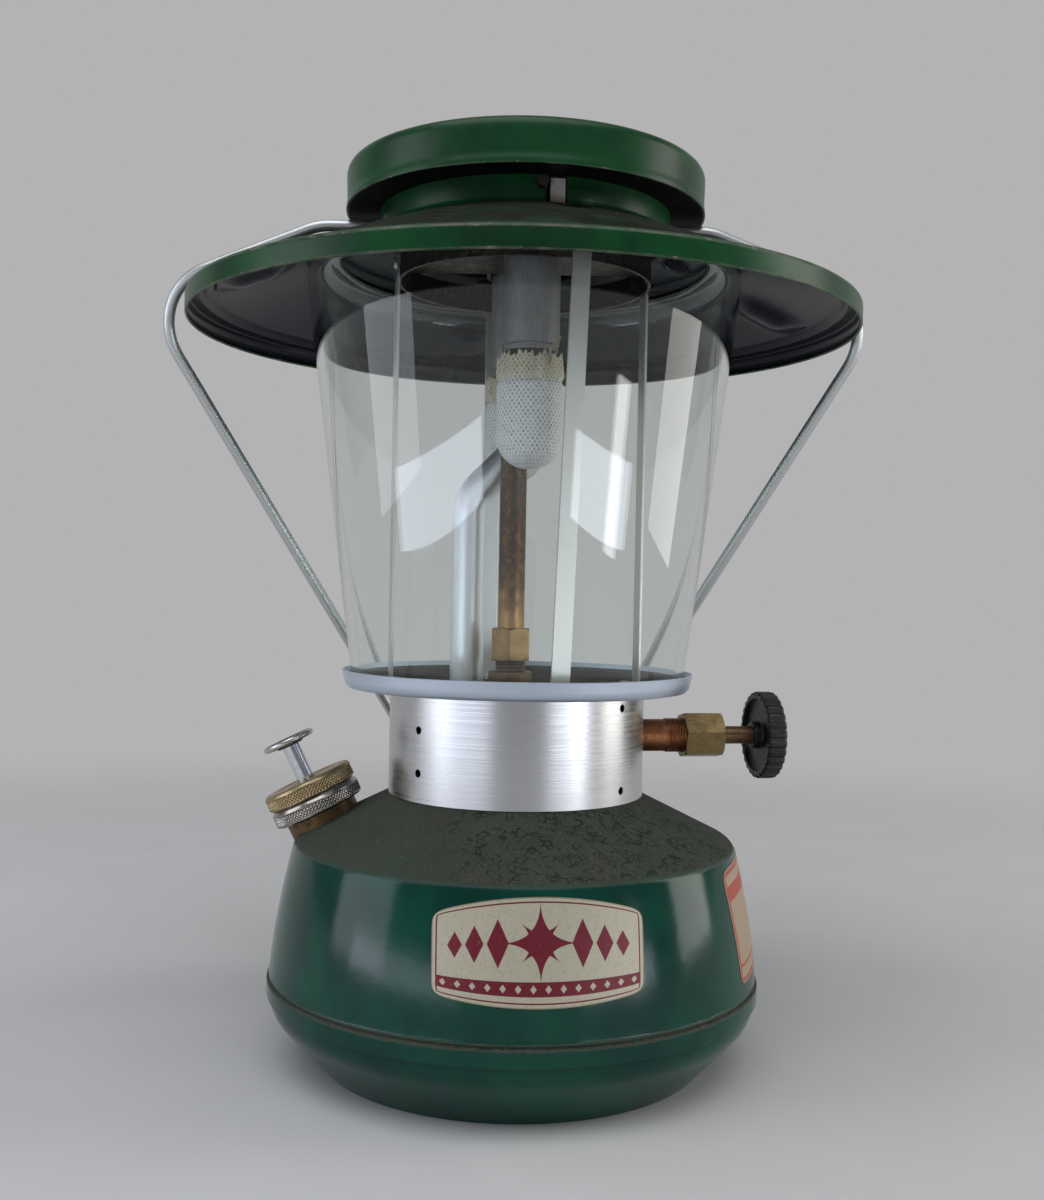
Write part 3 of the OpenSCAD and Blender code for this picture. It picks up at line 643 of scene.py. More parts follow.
@dataclass(frozen=True)
class SootyEnamel(GlossEnamel):
    """The same enamel on a hood's cone, under brown-black dust that lies in fine streaks round it."""

    streak: str = "4b4539"

    def build(self, tree: Any) -> Any:
        """Soot in two browns over the enamel, which shows through where it is thin."""
        m = Mask(tree)
        soot = m.colours(m.band(m.hoops(0.9, 14.0), 0.5, 0.78), self.dust_colour, self.streak)
        clouds = m.band(m.noise(16.0, 3.0), 0.36, 0.6, 0.45, 1.0)
        film = m.times(clouds, m.band(m.hoops(1.6, 22.0), 0.3, 0.55, 0.7, 1.0), self.dust)
        rough = m.band(film, 0.0, 0.8, self.roughness, 0.9)
        rise = m.bump(m.times(m.hoops(0.9, 9.0), film), 0.2)
        links = {"Base Color": m.colours(film, self.tone(m), soot), "Roughness": rough, "Normal": rise}
        return add(tree, "BsdfPrincipled", {"Specular IOR Level": self.gloss}, links).outputs[0]


@dataclass(frozen=True)
class WornMetal(Finish):
    """Bare or plated metal, drawn or turned, with stains that dull it.

    The grain stretches its fine lines, blotch is the stains' width in millimetres, and relief is
    the lines' height in millimetres for each unit of roughness.
    """

    colour: str
    stain: str
    stained: float
    roughness: float
    grain: tuple[float, float, float]
    blotch: float = 9.0
    metallic: float = 1.0
    relief: float = 0.009

    def build(self, tree: Any) -> Any:
        """Metal with fine lines along its grain and broad stains; a clean one is all its own colour."""
        m = Mask(tree)
        lines = Mask(tree, self.grain).noise(1.0, 4.0, 0.65)
        dirt = m.band(m.noise(self.blotch, 5.0, 0.65, 0.4), 0.45, 0.72, 0.0, self.stained)
        base = m.colours(dirt, m.colours(lines, self.colour, self.stain), self.stain)
        if self.stained < 0.2:
            base = m.colours(m.band(lines, 0.3, 0.7, 0.82, 1.0), base, self.colour)
        dulled = m.band(dirt, 0.0, 1.0, self.roughness, 0.8)
        rough = m.math("ADD", dulled, m.band(lines, 0.3, 0.7, -0.05, 0.06))
        drawn = m.bump(lines, self.relief * self.roughness)
        links = {"Base Color": base, "Roughness": rough, "Normal": drawn}
        return add(tree, "BsdfPrincipled", {"Metallic": self.metallic}, links).outputs[0]


@dataclass(frozen=True)
class HeatTinted(Finish):
    """Metal coloured by heat, in three tints that follow each other up the piece.

    The first tint turns into the second between the first two steps, and that into the third
    from a little above the second step to the third; wander moves these heights by noise.
    """

    low: str = "a5835a"
    middle: str = "4a392f"
    high: str = "5a544f"
    steps: tuple[float, float, float] = (146.0, 168.0, 235.0)
    wander: float = 38.0
    roughness: float = 0.45
    fleck: str = "8f6f4a"

    def build(self, tree: Any) -> Any:
        """Three tints that blend by height, broken up by noise and by brassy flecks."""
        m = Mask(tree)
        moved = m.times(m.math("SUBTRACT", m.noise(7.0, 4.0, 0.6), 0.5), self.wander)
        height = m.math("ADD", m.axis("Z"), moved)
        tint = m.colours(m.band(height, self.steps[0], self.steps[1]), self.low, self.middle)
        tint = m.colours(m.band(height, self.steps[1] + 10.0, self.steps[2]), tint, self.high)
        base = m.colours(m.band(m.noise(1.6, 5.0, 0.75), 0.5, 0.66, 0.0, 0.6), tint, self.fleck)
        rough = m.band(m.noise(3.0, 4.0), 0.3, 0.7, self.roughness - 0.08, self.roughness + 0.15)
        links = {"Base Color": base, "Roughness": rough, "Normal": m.bump(m.noise(1.1, 4.0), 0.02)}
        return add(tree, "BsdfPrincipled", {"Metallic": 0.9}, links).outputs[0]


@dataclass(frozen=True)
class ClearGlass(Finish):
    """Moulded heat-proof glass: clear, smooth, with faint smears."""

    tint: str = "f6faf9"
    shadow: str = "f2f6f5"

    def build(self, tree: Any) -> Any:
        """Glass that lets the lamps' light through."""
        m = Mask(tree, (1.0, 1.0, 0.12))
        smear = m.band(m.noise(9.0, 3.0), 0.5, 0.75, 0.0, 0.05)
        values = {"Base Color": linear(self.tint), "IOR": 1.47, "Transmission Weight": 1.0}
        glass = add(tree, "BsdfPrincipled", values, {"Roughness": smear})
        clear = add(tree, "BsdfTransparent", {"Color": linear(self.shadow)})
        ray = add(tree, "LightPath")
        links = {0: ray.outputs["Is Shadow Ray"], 1: glass.outputs[0], 2: clear.outputs[0]}
        return add(tree, "MixShader", None, links).outputs[0]


@dataclass(frozen=True)
class Matte(Finish):
    """Moulded phenolic or rubber, packing, leather or cotton: matte, with patches of brown dust."""

    colour: str
    roughness: float = 0.42
    sheen: float = 0.0
    dust_colour: str = "4c463d"

    def build(self, tree: Any) -> Any:
        """One tone under patches of dust, with fine pits."""
        m = Mask(tree)
        film = m.band(m.noise(2.2, 5.0, 0.7), 0.5, 0.75, 0.0, 0.3)
        base = m.colours(film, self.colour, self.dust_colour)
        rough = m.band(film, 0.0, 0.3, self.roughness, self.roughness + 0.25)
        links = {"Base Color": base, "Roughness": rough, "Normal": m.bump(m.noise(0.7, 3.0), 0.02)}
        return add(tree, "BsdfPrincipled", {"Sheen Weight": self.sheen}, links).outputs[0]


@dataclass(frozen=True)
class KnittedRayon(Finish):
    """Soft open knit of a new mantle: cool white yarn round small holes painted grey as the shade seen
    through them, yellowed at its hem.
    """

    wide: float = 1.55
    high: float = 2.2
    hem: float = 9.0
    yarns: tuple[str, str] = ("ecebea", "d2cab4")
    shaded_gaps: tuple[str, str] = ("8b8c90", "958a6e")

    def build(self, tree: Any) -> Any:
        """Staggered holes where the waves across and down the cloth have the same sign."""
        m = Mask(tree)
        x, y = m.print_place()
        wander = m.times(m.noise(3.5, 2.0), 0.8)
        across = m.math("COSINE", m.times(m.math("ADD", x, wander), TURN / self.wide))
        down = m.math("COSINE", m.times(y, TURN / self.high))
        uneven = m.band(m.noise(2.4, 3.0, 0.6), 0.35, 0.65, 0.45, 1.0)
        hole = m.times(m.band(m.times(across, down), 0.05, 0.85), uneven)
        yellowed = m.band(m.math("ADD", y, m.times(m.noise(2.5), 2.0)), self.hem + 2.5, self.hem)
        # The gap colours are painted shade, the dim inside of the bag seen through the holes; fray mixes a
        # little of it into the yarn.
        yarn, gap = (m.colours(yellowed, *pair) for pair in (self.yarns, self.shaded_gaps))
        fray = m.band(m.noise(0.45, 4.0, 0.8), 0.35, 0.65, 0.0, 0.35)
        base = m.colours(hole, m.colours(fray, yarn, gap), gap)
        fuzz = m.bump(m.noise(0.3, 4.0, 0.7), 0.1)
        raised = m.math("ADD", m.times(hole, -1.0), 1.0)
        values = {"Roughness": 0.95, "Sheen Weight": 0.25, "Sheen Roughness": 0.5}
        links = {"Base Color": base, "Normal": m.bump(raised, 0.3, fuzz)}
        return add(tree, "BsdfPrincipled", values, links).outputs[0]


@dataclass(frozen=True)
class PrintedFoil(Finish):
    """Printed foil label: satin cream with a thin line of ink inside its edge, a little rubbed.

    Half is half its width and height, and line is how far from its edge the line starts and ends.
    """

    ink: str
    paper: str
    half: tuple[float, float]
    line: tuple[float, float]
    soil: str = "8f8a76"
    cut_edge: str = "6f6a55"

    def motif(self, m: Mask, x: Any, y: Any) -> Any:
        """What is printed inside the line: a band near the top and a rule near the foot."""
        return m.largest(self.stripe(m, y, 11.0, 2.4), self.stripe(m, y, -12.6, 0.5))

    def stripe(self, m: Mask, y: Any, level: float, half: float) -> Any:
        """A stripe across the label, half to either side of a level."""
        return m.math("LESS_THAN", m.apart(y, level), half)

    def build(self, tree: Any) -> Any:
        """Ink on paper, from the label's own millimetres, x across and y up from its middle."""
        m = Mask(tree)
        x, y = m.print_place()
        insets = [m.math("ADD", m.times(m.math("ABSOLUTE", axis), -1.0), half)
                  for axis, half in zip((x, y), self.half)]
        inset = m.math("MINIMUM", *insets)
        start, inside = (m.math("GREATER_THAN", inset, at) for at in self.line)
        line = m.times(start, m.math("LESS_THAN", inset, self.line[1]))
        ink = m.largest(line, m.times(self.motif(m, x, y), inside))
        ink = m.times(ink, m.band(m.noise(0.9, 5.0, 0.75), 0.6, 0.72, 1.0, 0.65))
        paper = m.colours(m.band(m.noise(1.0, 5.0, 0.8), 0.48, 0.8), self.paper, self.soil)
        paper = m.colours(m.band(inset, 0.0, 0.6), self.cut_edge, paper)
        links = {"Base Color": m.colours(ink, paper, self.ink), "Normal": m.bump(m.noise(0.6, 3.0), 0.02)}
        return add(tree, "BsdfPrincipled", {"Roughness": 0.42, "Metallic": 0.15}, links).outputs[0]


@dataclass(frozen=True)
class StarFoil(PrintedFoil):
    """The same foil with a compass star between lozenges, over a band set with small diamonds.

    Each lozenge is (distance from the middle, half its width, half its height).
    """

    level: float = 2.8
    reaches: tuple[float, float] = (12.2, 8.6)
    lozenges: tuple[tuple[float, float, float], ...] = (
        (12.4, 3.2, 7.2), (19.2, 2.7, 5.8), (25.0, 2.2, 4.4))
    band: tuple[float, float] = (-10.2, 2.1)
    gem: tuple[float, float] = (0.95, 1.25)
    gem_gap: float = 2.2

    def spot(self, m: Mask, x: Any, y: Any, at: float, half: tuple[float, float]) -> Any:
        """A lozenge: |x - at| / half width + |y| / half height is under 1."""
        across = m.math("DIVIDE", m.apart(x, at), half[0])
        up = m.math("DIVIDE", m.math("ABSOLUTE", y), half[1])
        return m.math("LESS_THAN", m.math("ADD", across, up), 1.0)

    def star(self, m: Mask, x: Any, y: Any, reach: float) -> Any:
        """Four points: the square roots of |x| and |y| add up to less than that of the reach."""
        roots = [m.math("SQRT", m.math("ABSOLUTE", axis)) for axis in (x, y)]
        return m.math("LESS_THAN", m.math("ADD", *roots), math.sqrt(reach))

    def motif(self, m: Mask, x: Any, y: Any) -> Any:
        """Star, its slanting points, lozenges at both sides and the band.

        Args:
            m: The patterns' maker.
            x: Millimetres across from the label's middle.
            y: Millimetres up from it.

        Returns:
            1 where there is ink.
        """
        rise = m.math("SUBTRACT", y, self.level)
        slant = [m.times(m.math(sign, x, rise), math.sqrt(0.5)) for sign in ("ADD", "SUBTRACT")]
        shapes = [self.star(m, x, rise, self.reaches[0]), self.star(m, *slant, self.reaches[1])]
        side = m.math("ABSOLUTE", x)
        shapes += [self.spot(m, side, rise, at, (wide, high)) for at, wide, high in self.lozenges]
        place = m.math("SUBTRACT", m.math("PINGPONG", x, self.gem_gap), self.gem_gap)
        gem = self.spot(m, place, m.math("SUBTRACT", y, self.band[0]), 0.0, self.gem)
        band = self.stripe(m, y, *self.band)
        return m.largest(*shapes, m.math("SUBTRACT", band, m.times(band, gem)))


# Bright grass-green gloss, dusty on top, with a line along the top edge that is partly worn steel and partly
# a painted highlight.
GREEN = GlossEnamel("green_enamel_cap", "0f4423", "0b3119", 0.2, roughness=0.34, gloss=0.24,
                    edge_wear_and_highlight_levels=(287.0,))
# The same green, cleaner, with pale lines along both edges of the brim's band: rubbed to steel, and a painted
# highlight.
GREEN_BRIM = GlossEnamel("green_enamel_brim", "0d4422", "0a3019", 0.12, roughness=0.32, gloss=0.22,
                         edge_wear_and_highlight_levels=(247.6, 253.8))
# Deep bottle green with a wet gloss at the side, grey-brown dust on the shoulder, dark rings in it.
GREEN_FOUNT = SpottedEnamel("green_enamel_fount", "064334", "04332b", 0.95, "45433a", 0.14, 0.28, 28.7)
# Near-black soot in fine hoops, with a hint of green under it.
SOOTY_GREEN = SootyEnamel("sooty_green_enamel", "10381f", "0b2818", 0.97, "17140f", 0.4, 0.12)
# Blue-black satin, as on the underside of the hood.
NAVY = GlossEnamel("navy_enamel", "111722", "0b1019", roughness=0.27, gloss=0.18)
# Near-black inside of the cap: painted shade for the dark space under it.
SHADE_BLACK = GlossEnamel("painted_shade_black_enamel", "060706", "040504", roughness=0.6, gloss=0.12)
# Colourless, seen by its bright edges and the lamps in it.
GLASS = ClearGlass("clear_moulded_glass")
# Silver-white with fine lines round it.
ROLLED_ALUMINIUM = WornMetal("rolled_aluminium", "c8c9cb", "b4b4b5", 0.03, 0.3, (0.012, 0.012, 2.6), 16.0)
# Pale blue-white, satin, with spinning lines round the rim; the blue tint is a painted reflection of a blue
# sky.
SPUN_ALUMINIUM = WornMetal("spun_aluminium", "ccd7e6", "a3abb6", 0.12, 0.4, (0.05, 0.05, 1.6), 12.0)
# Dull brown scale in blotches, on the floor under the flames.
SCALED_FLOOR = WornMetal("heat_scaled_steel", "5a4738", "2f2620", 0.8, 0.8, (1.0, 1.0, 1.0), 5.0, 0.4)
# Cool grey plated strip, drawn along its length.
PLATED_STEEL = WornMetal("plated_steel", "69717f", "4d4b4a", 0.3, 0.36, (1.5, 1.5, 0.08), 8.0)
# Dark grey strip that turns bright where it comes out above the hood.
HEATED_STEEL = HeatTinted("heat_dulled_steel", "3b3937", "504c47", "b9b7b5", (262.0, 268.0, 283.0), 4.0, 0.42)
# Dark brown-grey pins, spotted.
PIN_STEEL = WornMetal("dark_pin_steel", "57534e", "2f2b26", 0.5, 0.45, (1.5, 1.5, 1.5), 2.0)
# Matte mid grey tubes, a little stained by heat.
BURNER_STEEL = WornMetal("burner_steel", "a3a3a8", "77716a", 0.35, 0.5, (1.5, 1.5, 0.15), 8.0, 0.6)
# Nearly white tube, drawn upwards, satin.
AIR_TUBE_STEEL = WornMetal("drawn_steel_tube", "eff3f9", "b0aca4", 0.14, 0.4, (1.2, 1.2, 0.06), 14.0)
# Blue-grey zinc with a dull shine.
GALVANISED = WornMetal("galvanised_wire", "5b6268", "4c5256", 0.12, 0.55, (0.5, 0.5, 0.08), 4.0, 0.7, 0.0)
# Mirror-bright rod.
CHROME = WornMetal("bright_chrome", "dfe3ea", "8a8880", 0.1, 0.16, (0.4, 0.4, 0.4), 4.0, 1.0, 0.0)
# Bright button, greyed by fingers.
BUTTON_STEEL = WornMetal("worn_chrome", "bfbfbd", "7d7870", 0.15, 0.22, (0.3, 0.3, 0.3), 5.0, 1.0, 0.0)
# Silvery plate with warm stains.
NICKEL = WornMetal("worn_nickel_plate", "b6b5b2", "7c7466", 0.25, 0.22, (2.0, 2.0, 2.0), 5.0)
# Pale dull gold.
BRASS = WornMetal("aged_brass", "b9a684", "8b7a5c", 0.4, 0.36, (1.6, 1.6, 1.6), 3.0)
# Greyish gold with lines along the valve, browned in patches.
NUT_BRASS = WornMetal("greyed_brass", "a08c62", "66543a", 0.4, 0.34, (0.15, 1.8, 1.8), 3.0)
# Darker gold, warmed by the burner.
WARM_BRASS = WornMetal("warm_brass", "8e7750", "6a5438", 0.45, 0.38, (1.6, 1.6, 0.15), 3.0)
# Orange-brown, nearly copper, in small dark blotches.
COPPERY = WornMetal("coppery_brass", "bf8058", "704a36", 0.6, 0.42, (1.6, 1.6, 1.6), 2.2)
# Brown brass, close to bronze.
DARK_BRASS = WornMetal("browned_brass", "8a7254", "4c3b2c", 0.6, 0.42, (1.2, 1.2, 1.2), 3.5)
# Brown-grey face and underside of the button, nearly matte: a painted dark reflection on the bright face.
DARK_REFLECTION_FACE = WornMetal("painted_dark_reflection_face", "665b4b", "3a3229", 0.6, 0.5, (1.2, 1.2, 1.2), 3.0, 0.7)
# Gold at its foot, dark brown in the middle and grey-brown above.
GENERATOR = HeatTinted("heat_tinted_brass")
# Black with a low shine and patches of brown dust.
PHENOLIC = Matte("moulded_phenolic", "0c0b0b")
# Matte black ring.
RUBBER = Matte("moulded_rubber", "1d1b1a", 0.7)
# Dark grey, dull.
GRAPHITE = Matte("graphited_packing", "2b2a29", 0.65)
# Dark tan, faintly soft.
OILED_LEATHER = Matte("oiled_leather", "4a3322", 0.6, 0.1)
# White knit with holes painted grey as shade.
KNIT = KnittedRayon("knitted_rayon")
# Straw-coloured string.
TIE = Matte("cotton_tie", "9c8a6c", 0.9, 0.3)
# Cream with wine-red print.
FRONT_LABEL = StarFoil("printed_foil_front", "6c1226", "b6b09b", (32.0, 15.7), (1.25, 1.7))
# Pinkish cream with faded brick-red print.
SIDE_LABEL = PrintedFoil("printed_foil_side", "a8452f", "a8927a", (38.0, 18.6), (0.7, 2.0))


# ---- sub-assemblies ---------------------------------------------------------------------


@dataclass
class Sizes:
    """The heights and radii that several sub-assemblies share, as in the CAD source."""

    bead_r: float = 83.9
    bead_z: float = 25.0
    shoulder_r: float = 75.3
    shoulder_z: float = 73.6
    shoulder_slope: float = 26.0
    fount_sheet: float = 0.9
    collar_r: float = 43.9
    collar_h: float = 36.0
    collar_sheet: float = 0.8
    shield_r: float = 60.4
    shield_h: float = 6.3
    shield_sheet: float = 0.7
    seat: float = 0.3
    globe_foot_r: float = 56.9
    globe_top_r: float = 74.2
    globe_h: float = 145.0
    globe_wall: float = 2.8
    globe_shoulder: float = 8.5
    brim_r: float = 113.9
    brim_band: float = 7.4
    hood_slope: float = 22.2
    neck_r: float = 50.0
    neck_h: float = 11.4
    hood_sheet: float = 0.8
    flute_depth: float = 3.0
    cap_r: float = 61.6
    cap_h: float = 15.4
    cap_lift: float = 7.4
    wire_d: float = 4.0
    burner_drop: float = 6.4
    spigot_rise: float = 3.0
    column_hex: float = 6.5
    column: tuple[float, float] = (-2.5, -5.0)

    def __post_init__(self) -> None:
        """Works out the levels, from the table up."""
        self.collar_z = self.shoulder_level(self.collar_r)
        self.shield_z = self.collar_z + self.collar_h
        self.floor_z = self.shield_z + self.shield_sheet
        self.globe_z = self.floor_z + self.seat
        self.globe_top_z = self.globe_z + self.globe_h
        rise = self.globe_h - self.globe_shoulder
        self.globe_lean = math.degrees(math.atan((self.globe_top_r - self.globe_foot_r) / rise))
        lean, slope = math.radians(self.globe_lean), math.radians(self.hood_slope)
        self.globe_bend_r = self.globe_top_r - self.globe_shoulder * math.cos(lean)
        stack = self.globe_shoulder + self.seat + self.hood_sheet
        self.bearing_z = self.globe_top_z - self.globe_shoulder + stack / math.cos(slope)
        self.neck_z = float(self.cone(self.neck_r))
        self.neck_top_z = self.neck_z + self.neck_h
        self.tubes_top_z = self.neck_z - self.burner_drop
        self.step_r = self.brim_r - 6.4
        self.brim_top_z = float(self.cone(self.step_r)) - 1.0
        self.brim_foot_z = self.brim_top_z - self.brim_band
        self.cap_foot_z = self.neck_z + self.cap_lift
        self.cap_top_z = self.cap_foot_z + self.cap_h
        self.pivot_z = self.cap_foot_z - self.wire_d / 2.0 - 0.5
        self.belly_z = self.bead_z + 4.0
        self.belly_r = self.bead_r - self.fount_sheet
        self.column_z = self.shield_z + self.column_hex

    def shoulder_level(self, r: float) -> float:
        """Height of the fount's cone, or shoulder, at radius r."""
        return self.shoulder_z + (self.shoulder_r - r) * math.tan(math.radians(self.shoulder_slope))

    def cone(self, r: Any) -> Any:
        """Height of the hood's cone at radius r."""
        return self.bearing_z + (self.globe_bend_r - r) * math.tan(math.radians(self.hood_slope))

    def wall(self, z: Any) -> Any:
        """Radius of the fount's side wall at height z: it falls away faster as it rises."""
        share = np.clip((z - self.belly_z) / (self.shoulder_z - self.belly_z), 0.0, None)
        return self.belly_r - (self.belly_r - self.shoulder_r) * share**1.45


@dataclass
class Fount:
    """The fuel fount with its seam bead, and the labels on it."""

    s: Sizes
    foot_r: float = 66.0
    opening_r: float = 10.5
    around: int = 288
    proud: tuple[float, float] = (0.14, 0.02)

    def shell(self) -> None:
        """Upper shell: a bead at the seam, a wall that bulges, a rounded corner and a cone."""
        s = self.s
        bead = round_corners(
            [(s.bead_r - 0.6, s.bead_z - 2.4), (s.bead_r, s.bead_z - 2.1), (s.bead_r, s.bead_z + 3.1),
             (s.bead_r - 1.2, s.bead_z + 3.5), (s.bead_r - 1.2, s.bead_z + 3.9)],
            [0.0, 0.25, 0.9, 0.15, 0.0], 7,
        )
        z = s.belly_z + 0.25 + (s.shoulder_z - 6.0 - s.belly_z) * np.linspace(0.0, 1.0, 34) ** 1.6
        wall = np.stack([s.wall(z) + 0.35 * np.exp(-(z - s.belly_z) / 1.8), z], 1)
        top_r = s.collar_r - s.collar_sheet - 0.1
        top = (top_r, s.shoulder_level(top_r))
        corner = round_corners([wall[-1], (s.shoulder_r, s.shoulder_z), top], [0.0, 5.0, 0.0], 14)
        cone = np.linspace(corner[-2], top, 14)[1:]
        spigot_z = s.collar_z + s.spigot_rise
        spigot = np.array([(top_r, spigot_z), (self.opening_r, spigot_z)])
        outline = thick_outline(np.concatenate([bead, wall, corner[1:-1], cone, spigot]), s.fount_sheet)
        grid = Surface(turned(outline, self.around), wrap_rows=True)
        make_piece("fount_upper", grid, GREEN_FOUNT, Body.LANTERN, ["fount_shell"])

    def base(self) -> None:
        """Lower pan: a dished bottom, a flat foot ring and a skirt that rounds up to the seam."""
        s = self.s
        lip_r = s.bead_r - s.fount_sheet - 0.3
        bottom = round_corners(
            [(0.0, 3.5), (self.foot_r - 10.0, 3.5), (self.foot_r - 4.0, 0.0), (self.foot_r, 0.0)],
            [0.0, 8.0, 2.0, 0.0], 8,
        )
        skirt = circle_points((lip_r - 10.0, s.bead_z - 3.0), 10.0, -43.0, 0.0, 16)
        lip = np.array([(lip_r, s.bead_z + 0.5)])
        rise = np.linspace(bottom[-1], skirt[0], 8)[1:-1]
        outline = thick_outline(np.concatenate([resample(bottom, 3.0), rise, skirt, lip]), s.fount_sheet)
        outline[-1, 0] = 0.0
        grid = Surface(turned(outline, self.around), wrap_rows=True)
        make_piece("fount_pan", grid, GREEN_FOUNT, Body.LANTERN, ["fount_base"])

    def label(self, name: str, finish: PrintedFoil, turn: float, middle: float, pinch: float) -> None:
        """A thin foil plate with rounded corners, laid flat on the wall, which is nearly a cone.

        On the flat plate x runs across and y up, and its height falls by the pinch times
        (x / half width) squared. On a cone whose side leans by a, with the apex L above the plate's
        middle along the side, a flat point lies hypot(x, L - y) from the apex, at the angle
        atan(x / (L - y)) / sin(a) round the axis. The high powers below round off its corners.

        Args:
            name: The piece's name.
            finish: Its print, which also has its size.
            turn: Angle of its middle from +X, in degrees.
            middle: Height of its middle.
            pinch: Share of its height that is lost at its ends.
        """
        s, half = self.s, finish.half
        u, v = np.meshgrid(np.linspace(-1.0, 1.0, 121), np.linspace(-1.0, 1.0, 57))
        x = half[0] * u * (1.0 - 0.035 * np.abs(v) ** 14)
        y = half[1] * v * (1.0 - 0.07 * np.abs(u) ** 26) * (1.0 - pinch * (x / half[0]) ** 2)
        lean = math.atan(float(s.wall(middle - 5.0) - s.wall(middle + 5.0)) / 10.0)
        apex = float(s.wall(middle)) / math.sin(lean)
        a = math.radians(turn) + np.arctan2(x, apex - y) / math.sin(lean)
        z = middle + (apex - np.hypot(x, apex - y)) * math.cos(lean)
        face, back = (np.stack([(s.wall(z) + up) * np.cos(a), (s.wall(z) + up) * np.sin(a), z], 2)
                      for up in self.proud)
        rows, columns = u.shape
        grid = np.arange(rows * columns).reshape(rows, columns)
        rim = np.concatenate([grid[:, 0], grid[-1, 1:], grid[-2::-1, -1], grid[0, -2:0:-1]])
        ring = np.stack([layer.reshape(-1, 3)[rim] for layer in (face, back)])
        plate = [
            Surface(face, wrap_columns=False, uv=np.stack([half[0] * u, half[1] * v], 2)),
            Surface(ring, uv=np.full((2, len(rim) + 1, 2), NO_PRINT)),
            Surface(back[:, ::-1], wrap_columns=False, uv=np.full((rows, columns, 2), NO_PRINT)),
        ]
        make_piece(name, plate, finish, Body.LANTERN)

    def build(self) -> None:
        """Makes the shell, the pan and the two labels."""
        self.shell()
        self.base()
        self.label("label_front", FRONT_LABEL, -83.9, 54.9, 0.27)
        self.label("label_side", SIDE_LABEL, -1.2, 53.4, 0.0)


@dataclass
class Stand:
    """What stands between the fount and the globe: the collar and the heat shield."""

    s: Sizes
    opening_r: float = 10.5
    first_lug: float = 21.0
    lugs: int = 3
    lug_h: float = 4.6
    lug_sheet: float = 0.7

    def shield(self) -> None:
        """Dished heat shield with a rolled rim and a floor scaled by heat."""
        s = self.s
        outer = round_corners(
            [(self.opening_r, s.shield_z), (s.shield_r - 1.4, s.shield_z),
             (s.shield_r, s.shield_z + s.shield_h - 0.2)],
            [0.0, 2.4, 0.0], 10,
        )
        line = resample(outer, 1.6)
        outline = thick_outline(line, s.shield_sheet)
        outline = np.insert(outline, len(line), (s.shield_r - 0.3, s.shield_z + s.shield_h), axis=0)
        points = turned(outline, 240)
        part = np.zeros(points.shape[:2], int)
        part[len(line) + 2 :] = 1
        grid = Surface(points, wrap_rows=True, part=part)
        # The rim's blue tint is a painted sky reflection.
        make_piece("heat_shield_dish", grid, [SPUN_ALUMINIUM, SCALED_FLOOR], Body.LANTERN,
                   ["heat_shield"])

    def lug(self, a: float) -> Surface:
        """A pointed lug that stands up inside the globe's foot, at an angle round the axis."""
        s = self.s
        half = np.linspace(2.7, 0.5, 5)[:, None]
        z = s.floor_z + np.linspace(0.0, self.lug_h, 5)[:, None]
        across = np.array([-math.sin(a), math.cos(a), 0.0])
        out = np.array([math.cos(a), math.sin(a), 0.0])
        r = s.globe_foot_r - s.globe_wall - 0.9
        corners = ((0.0, -1.0), (0.0, 1.0), (self.lug_sheet, 1.0), (self.lug_sheet, -1.0))
        edges = [out * (r - depth) + across * (side * half) + np.array([0.0, 0.0, 1.0]) * z
                 for depth, side in corners]
        return Surface(with_ends(np.stack(edges, 1)))

    def build(self) -> None:
        """Makes the collar, the shield and its lugs."""
        dressed_node("collar", "collar_band", ROLLED_ALUMINIUM, Body.LANTERN, "bare_aluminium", 40.0)
        self.shield()
        for k in range(self.lugs):
            lug = self.lug(math.radians(self.first_lug + 360.0 / self.lugs * k))
            make_piece(f"shield_lug_{k + 1}", lug, SCALED_FLOOR, Body.LANTERN)


@dataclass
class Globe:
    """The tapered glass."""

    s: Sizes

    def build(self) -> None:
        """One closed wall: the outside up, over the rounded shoulder, and the inside down."""
        s = self.s
        bend = (s.globe_bend_r, s.globe_top_z - s.globe_shoulder)
        top = circle_points(bend, s.globe_shoulder, -s.globe_lean, 90.0, 18)
        foot = np.array([[s.globe_foot_r, s.globe_z + 1.0]])
        side = foot + (top[0] - foot) * np.linspace(0.0, 1.0, 40)[:, None]
        outer = np.concatenate([side[:-1], top, [(s.globe_bend_r - 2.0, s.globe_top_z)]])
        inner = outer + s.globe_wall * left_of(outer)
        end = circle_points((outer[-1] + inner[-1]) / 2.0, s.globe_wall / 2.0, 90.0, 270.0, 8)[1:-1]
        toe = circle_points((outer[0] + inner[0]) / 2.0, s.globe_wall / 2.0, 187.0, 353.0, 10)[1:-1]
        toe[:, 1] = np.maximum(toe[:, 1], s.globe_z)
        grid = Surface(turned(np.concatenate([outer, end, inner[::-1], toe])), wrap_rows=True)
        make_piece("globe_glass", grid, GLASS, Body.GLOBE, ["globe"], 60.0)


